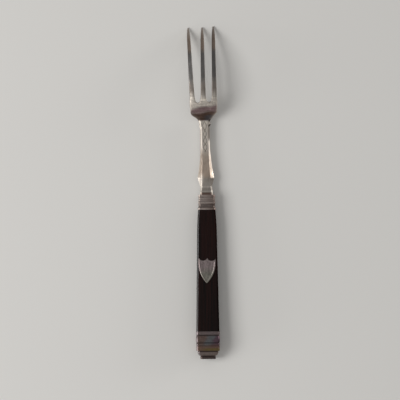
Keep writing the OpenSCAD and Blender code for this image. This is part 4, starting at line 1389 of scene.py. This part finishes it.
class FORK_OT_handle(bpy.types.Operator):
    """Builds the wooden grip with the shield that is let into it"""

    bl_idname = "fork.handle"
    bl_label = "Grip and shield"

    def execute(self, context):
        """Builds the grip, cuts the shield's pocket into it, and builds the shield."""
        scene = context.scene
        mounts, grip, shield = in_mm(scene.fork_mounts), in_mm(scene.fork_grip), in_mm(scene.fork_shield)
        front_y = -ferrule_length(mounts)

        def set_up(points):
            """From the shield's own frame to the handle's."""
            return on_grip(points, shield, grip, front_y)

        wood = build_grip(grip, mounts)
        outline = shield_outline(shield, grip.fit_gap)
        combine(wood, prism("pocket", outline, -shield.shield_t, 1.0, set_up), "DIFFERENCE")
        place(wood, "wooden_handle", ebony(scene.fork_finish))
        inlay = build_shield(shield, set_up)
        place(inlay, "shield_inlay", shield_silver(scene.fork_finish))
        return {"FINISHED"}


class FORK_OT_cement(bpy.types.Operator):
    """Gives the cement round the tang its finish"""

    bl_idname = "fork.cement"
    bl_label = "Cement"

    def execute(self, context):
        """Gives the CAD solid of the cement its material."""
        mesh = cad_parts["tang_cement"].data
        mesh.materials.clear()
        mesh.materials.append(resin(context.scene.fork_finish))
        return {"FINISHED"}


# Half the side of the floor, in metres
FLOOR_HALF = 12
# Where the camera's axis meets the fork, in millimetres
CAMERA_AIM = (-2.14, -4.42, 6.0)
# Name, azimuth, elevation, distance, size and radiance of each lamp: a key from the left, and a low
# strip on each side for the bevels
LAMPS = (
    ("key", 186, 44, 1.6, (0.84, 0.84), 7.0),
    ("right strip", 18, 9, 8.0, (3.4, 2.0), 7.8),
    ("left strip", 197, 9, 8.0, (5.0, 2.0), 4.4),
)


def area_lamp(name, azimuth, elevation, distance_m, size, radiance):
    """An area lamp that faces the fork from an azimuth (0 is +X, 90 is +Y) and an elevation.

    Its power is pi times its area times the radiance that it shows.
    """
    a, e = math.radians(azimuth), math.radians(elevation)
    back = Vector((math.cos(a) * math.cos(e), math.sin(a) * math.cos(e), math.sin(e)))
    data = bpy.data.lights.new(name, "AREA")
    data.shape = "RECTANGLE"
    data.size, data.size_y = size
    data.energy = math.pi * size[0] * size[1] * radiance
    lamp = bpy.data.objects.new(name, data)
    lamp.location = back * distance_m
    lamp.rotation_euler = back.to_track_quat("Z", "Y").to_euler()
    bpy.context.scene.collection.objects.link(lamp)


class FORK_OT_stage(bpy.types.Operator):
    """Builds the floor, the lamps, the world and the camera"""

    bl_idname = "fork.stage"
    bl_label = "Stage"

    def execute(self, context):
        """Builds the stage round the fork's place."""
        scene, stage = context.scene, context.scene.fork_stage
        material, tree, shader, _ = start_material("Painted board, matt", 0.0)
        plug(tree, shader, {"Base Color": stage.floor, "Roughness": 0.9, "Specular IOR Level": 0.1})
        mesh = bpy.data.meshes.new("floor")
        corners = [(x * FLOOR_HALF, y * FLOOR_HALF, 0) for x, y in ((-1, -1), (1, -1), (1, 1), (-1, 1))]
        mesh.from_pydata(corners, [], [(0, 1, 2, 3)])
        mesh.materials.append(material)
        floor = bpy.data.objects.new("floor", mesh)
        scene.collection.objects.link(floor)
        for lamp in LAMPS:
            area_lamp(*lamp)
        world = bpy.data.worlds.new("studio")
        world.use_nodes = True
        background = world.node_tree.nodes["Background"]
        plug(world.node_tree, background, {"Color": linear("#f6f6f6"), "Strength": stage.world})
        scene.world = world
        scene.view_settings.view_transform = "Standard"
        data = bpy.data.cameras.new("camera")
        data.lens = stage.lens
        height = stage.view_w * stage.lens / data.sensor_width
        camera = bpy.data.objects.new("camera", data)
        camera.location = Vector(CAMERA_AIM) * MM + Vector((0, 0, height))
        camera.rotation_euler = (0, 0, stage.turn)
        scene.collection.objects.link(camera)
        scene.camera = camera
        return {"FINISHED"}


class FORK_PT_panel(bpy.types.Panel):
    """Sizes, colours and the pieces to build"""

    bl_label = "Table fork"
    bl_idname = "FORK_PT_panel"
    bl_space_type = "VIEW_3D"
    bl_region_type = "UI"
    bl_category = "Fork"

    def draw(self, context):
        """Lists the operators, and then the properties of each group in a box."""
        for operator in OPERATORS:
            self.layout.operator(operator.bl_idname)
        for name in GROUPS:
            box = self.layout.box()
            group = getattr(context.scene, name)
            for prop in group.bl_rna.properties:
                if prop.identifier not in ("rna_type", "name"):
                    box.prop(group, prop.identifier)


GROUPS = {
    "fork_head": HeadSizes, "fork_mounts": MountSizes, "fork_grip": GripSizes,
    "fork_shield": ShieldSizes, "fork_finish": Finish, "fork_stage": StageSettings,
}
OPERATORS = (FORK_OT_stage, FORK_OT_head, FORK_OT_mounts, FORK_OT_handle, FORK_OT_cement)
CLASSES = tuple(GROUPS.values()) + OPERATORS + (FORK_PT_panel,)


def register():
    """Registers the classes and hangs the property groups on the scene."""
    for cls in CLASSES:
        bpy.utils.register_class(cls)
    for name, group in GROUPS.items():
        setattr(bpy.types.Scene, name, PointerProperty(type=group))


def unregister():
    """Takes both away again."""
    for name in GROUPS:
        delattr(bpy.types.Scene, name)
    for cls in reversed(CLASSES):
        bpy.utils.unregister_class(cls)


def main():
    """Builds the stage and every piece."""
    register()
    bpy.ops.fork.stage()
    bpy.ops.fork.head()
    bpy.ops.fork.mounts()
    bpy.ops.fork.handle()
    bpy.ops.fork.cement()


if __name__ == "__main__":
    main()
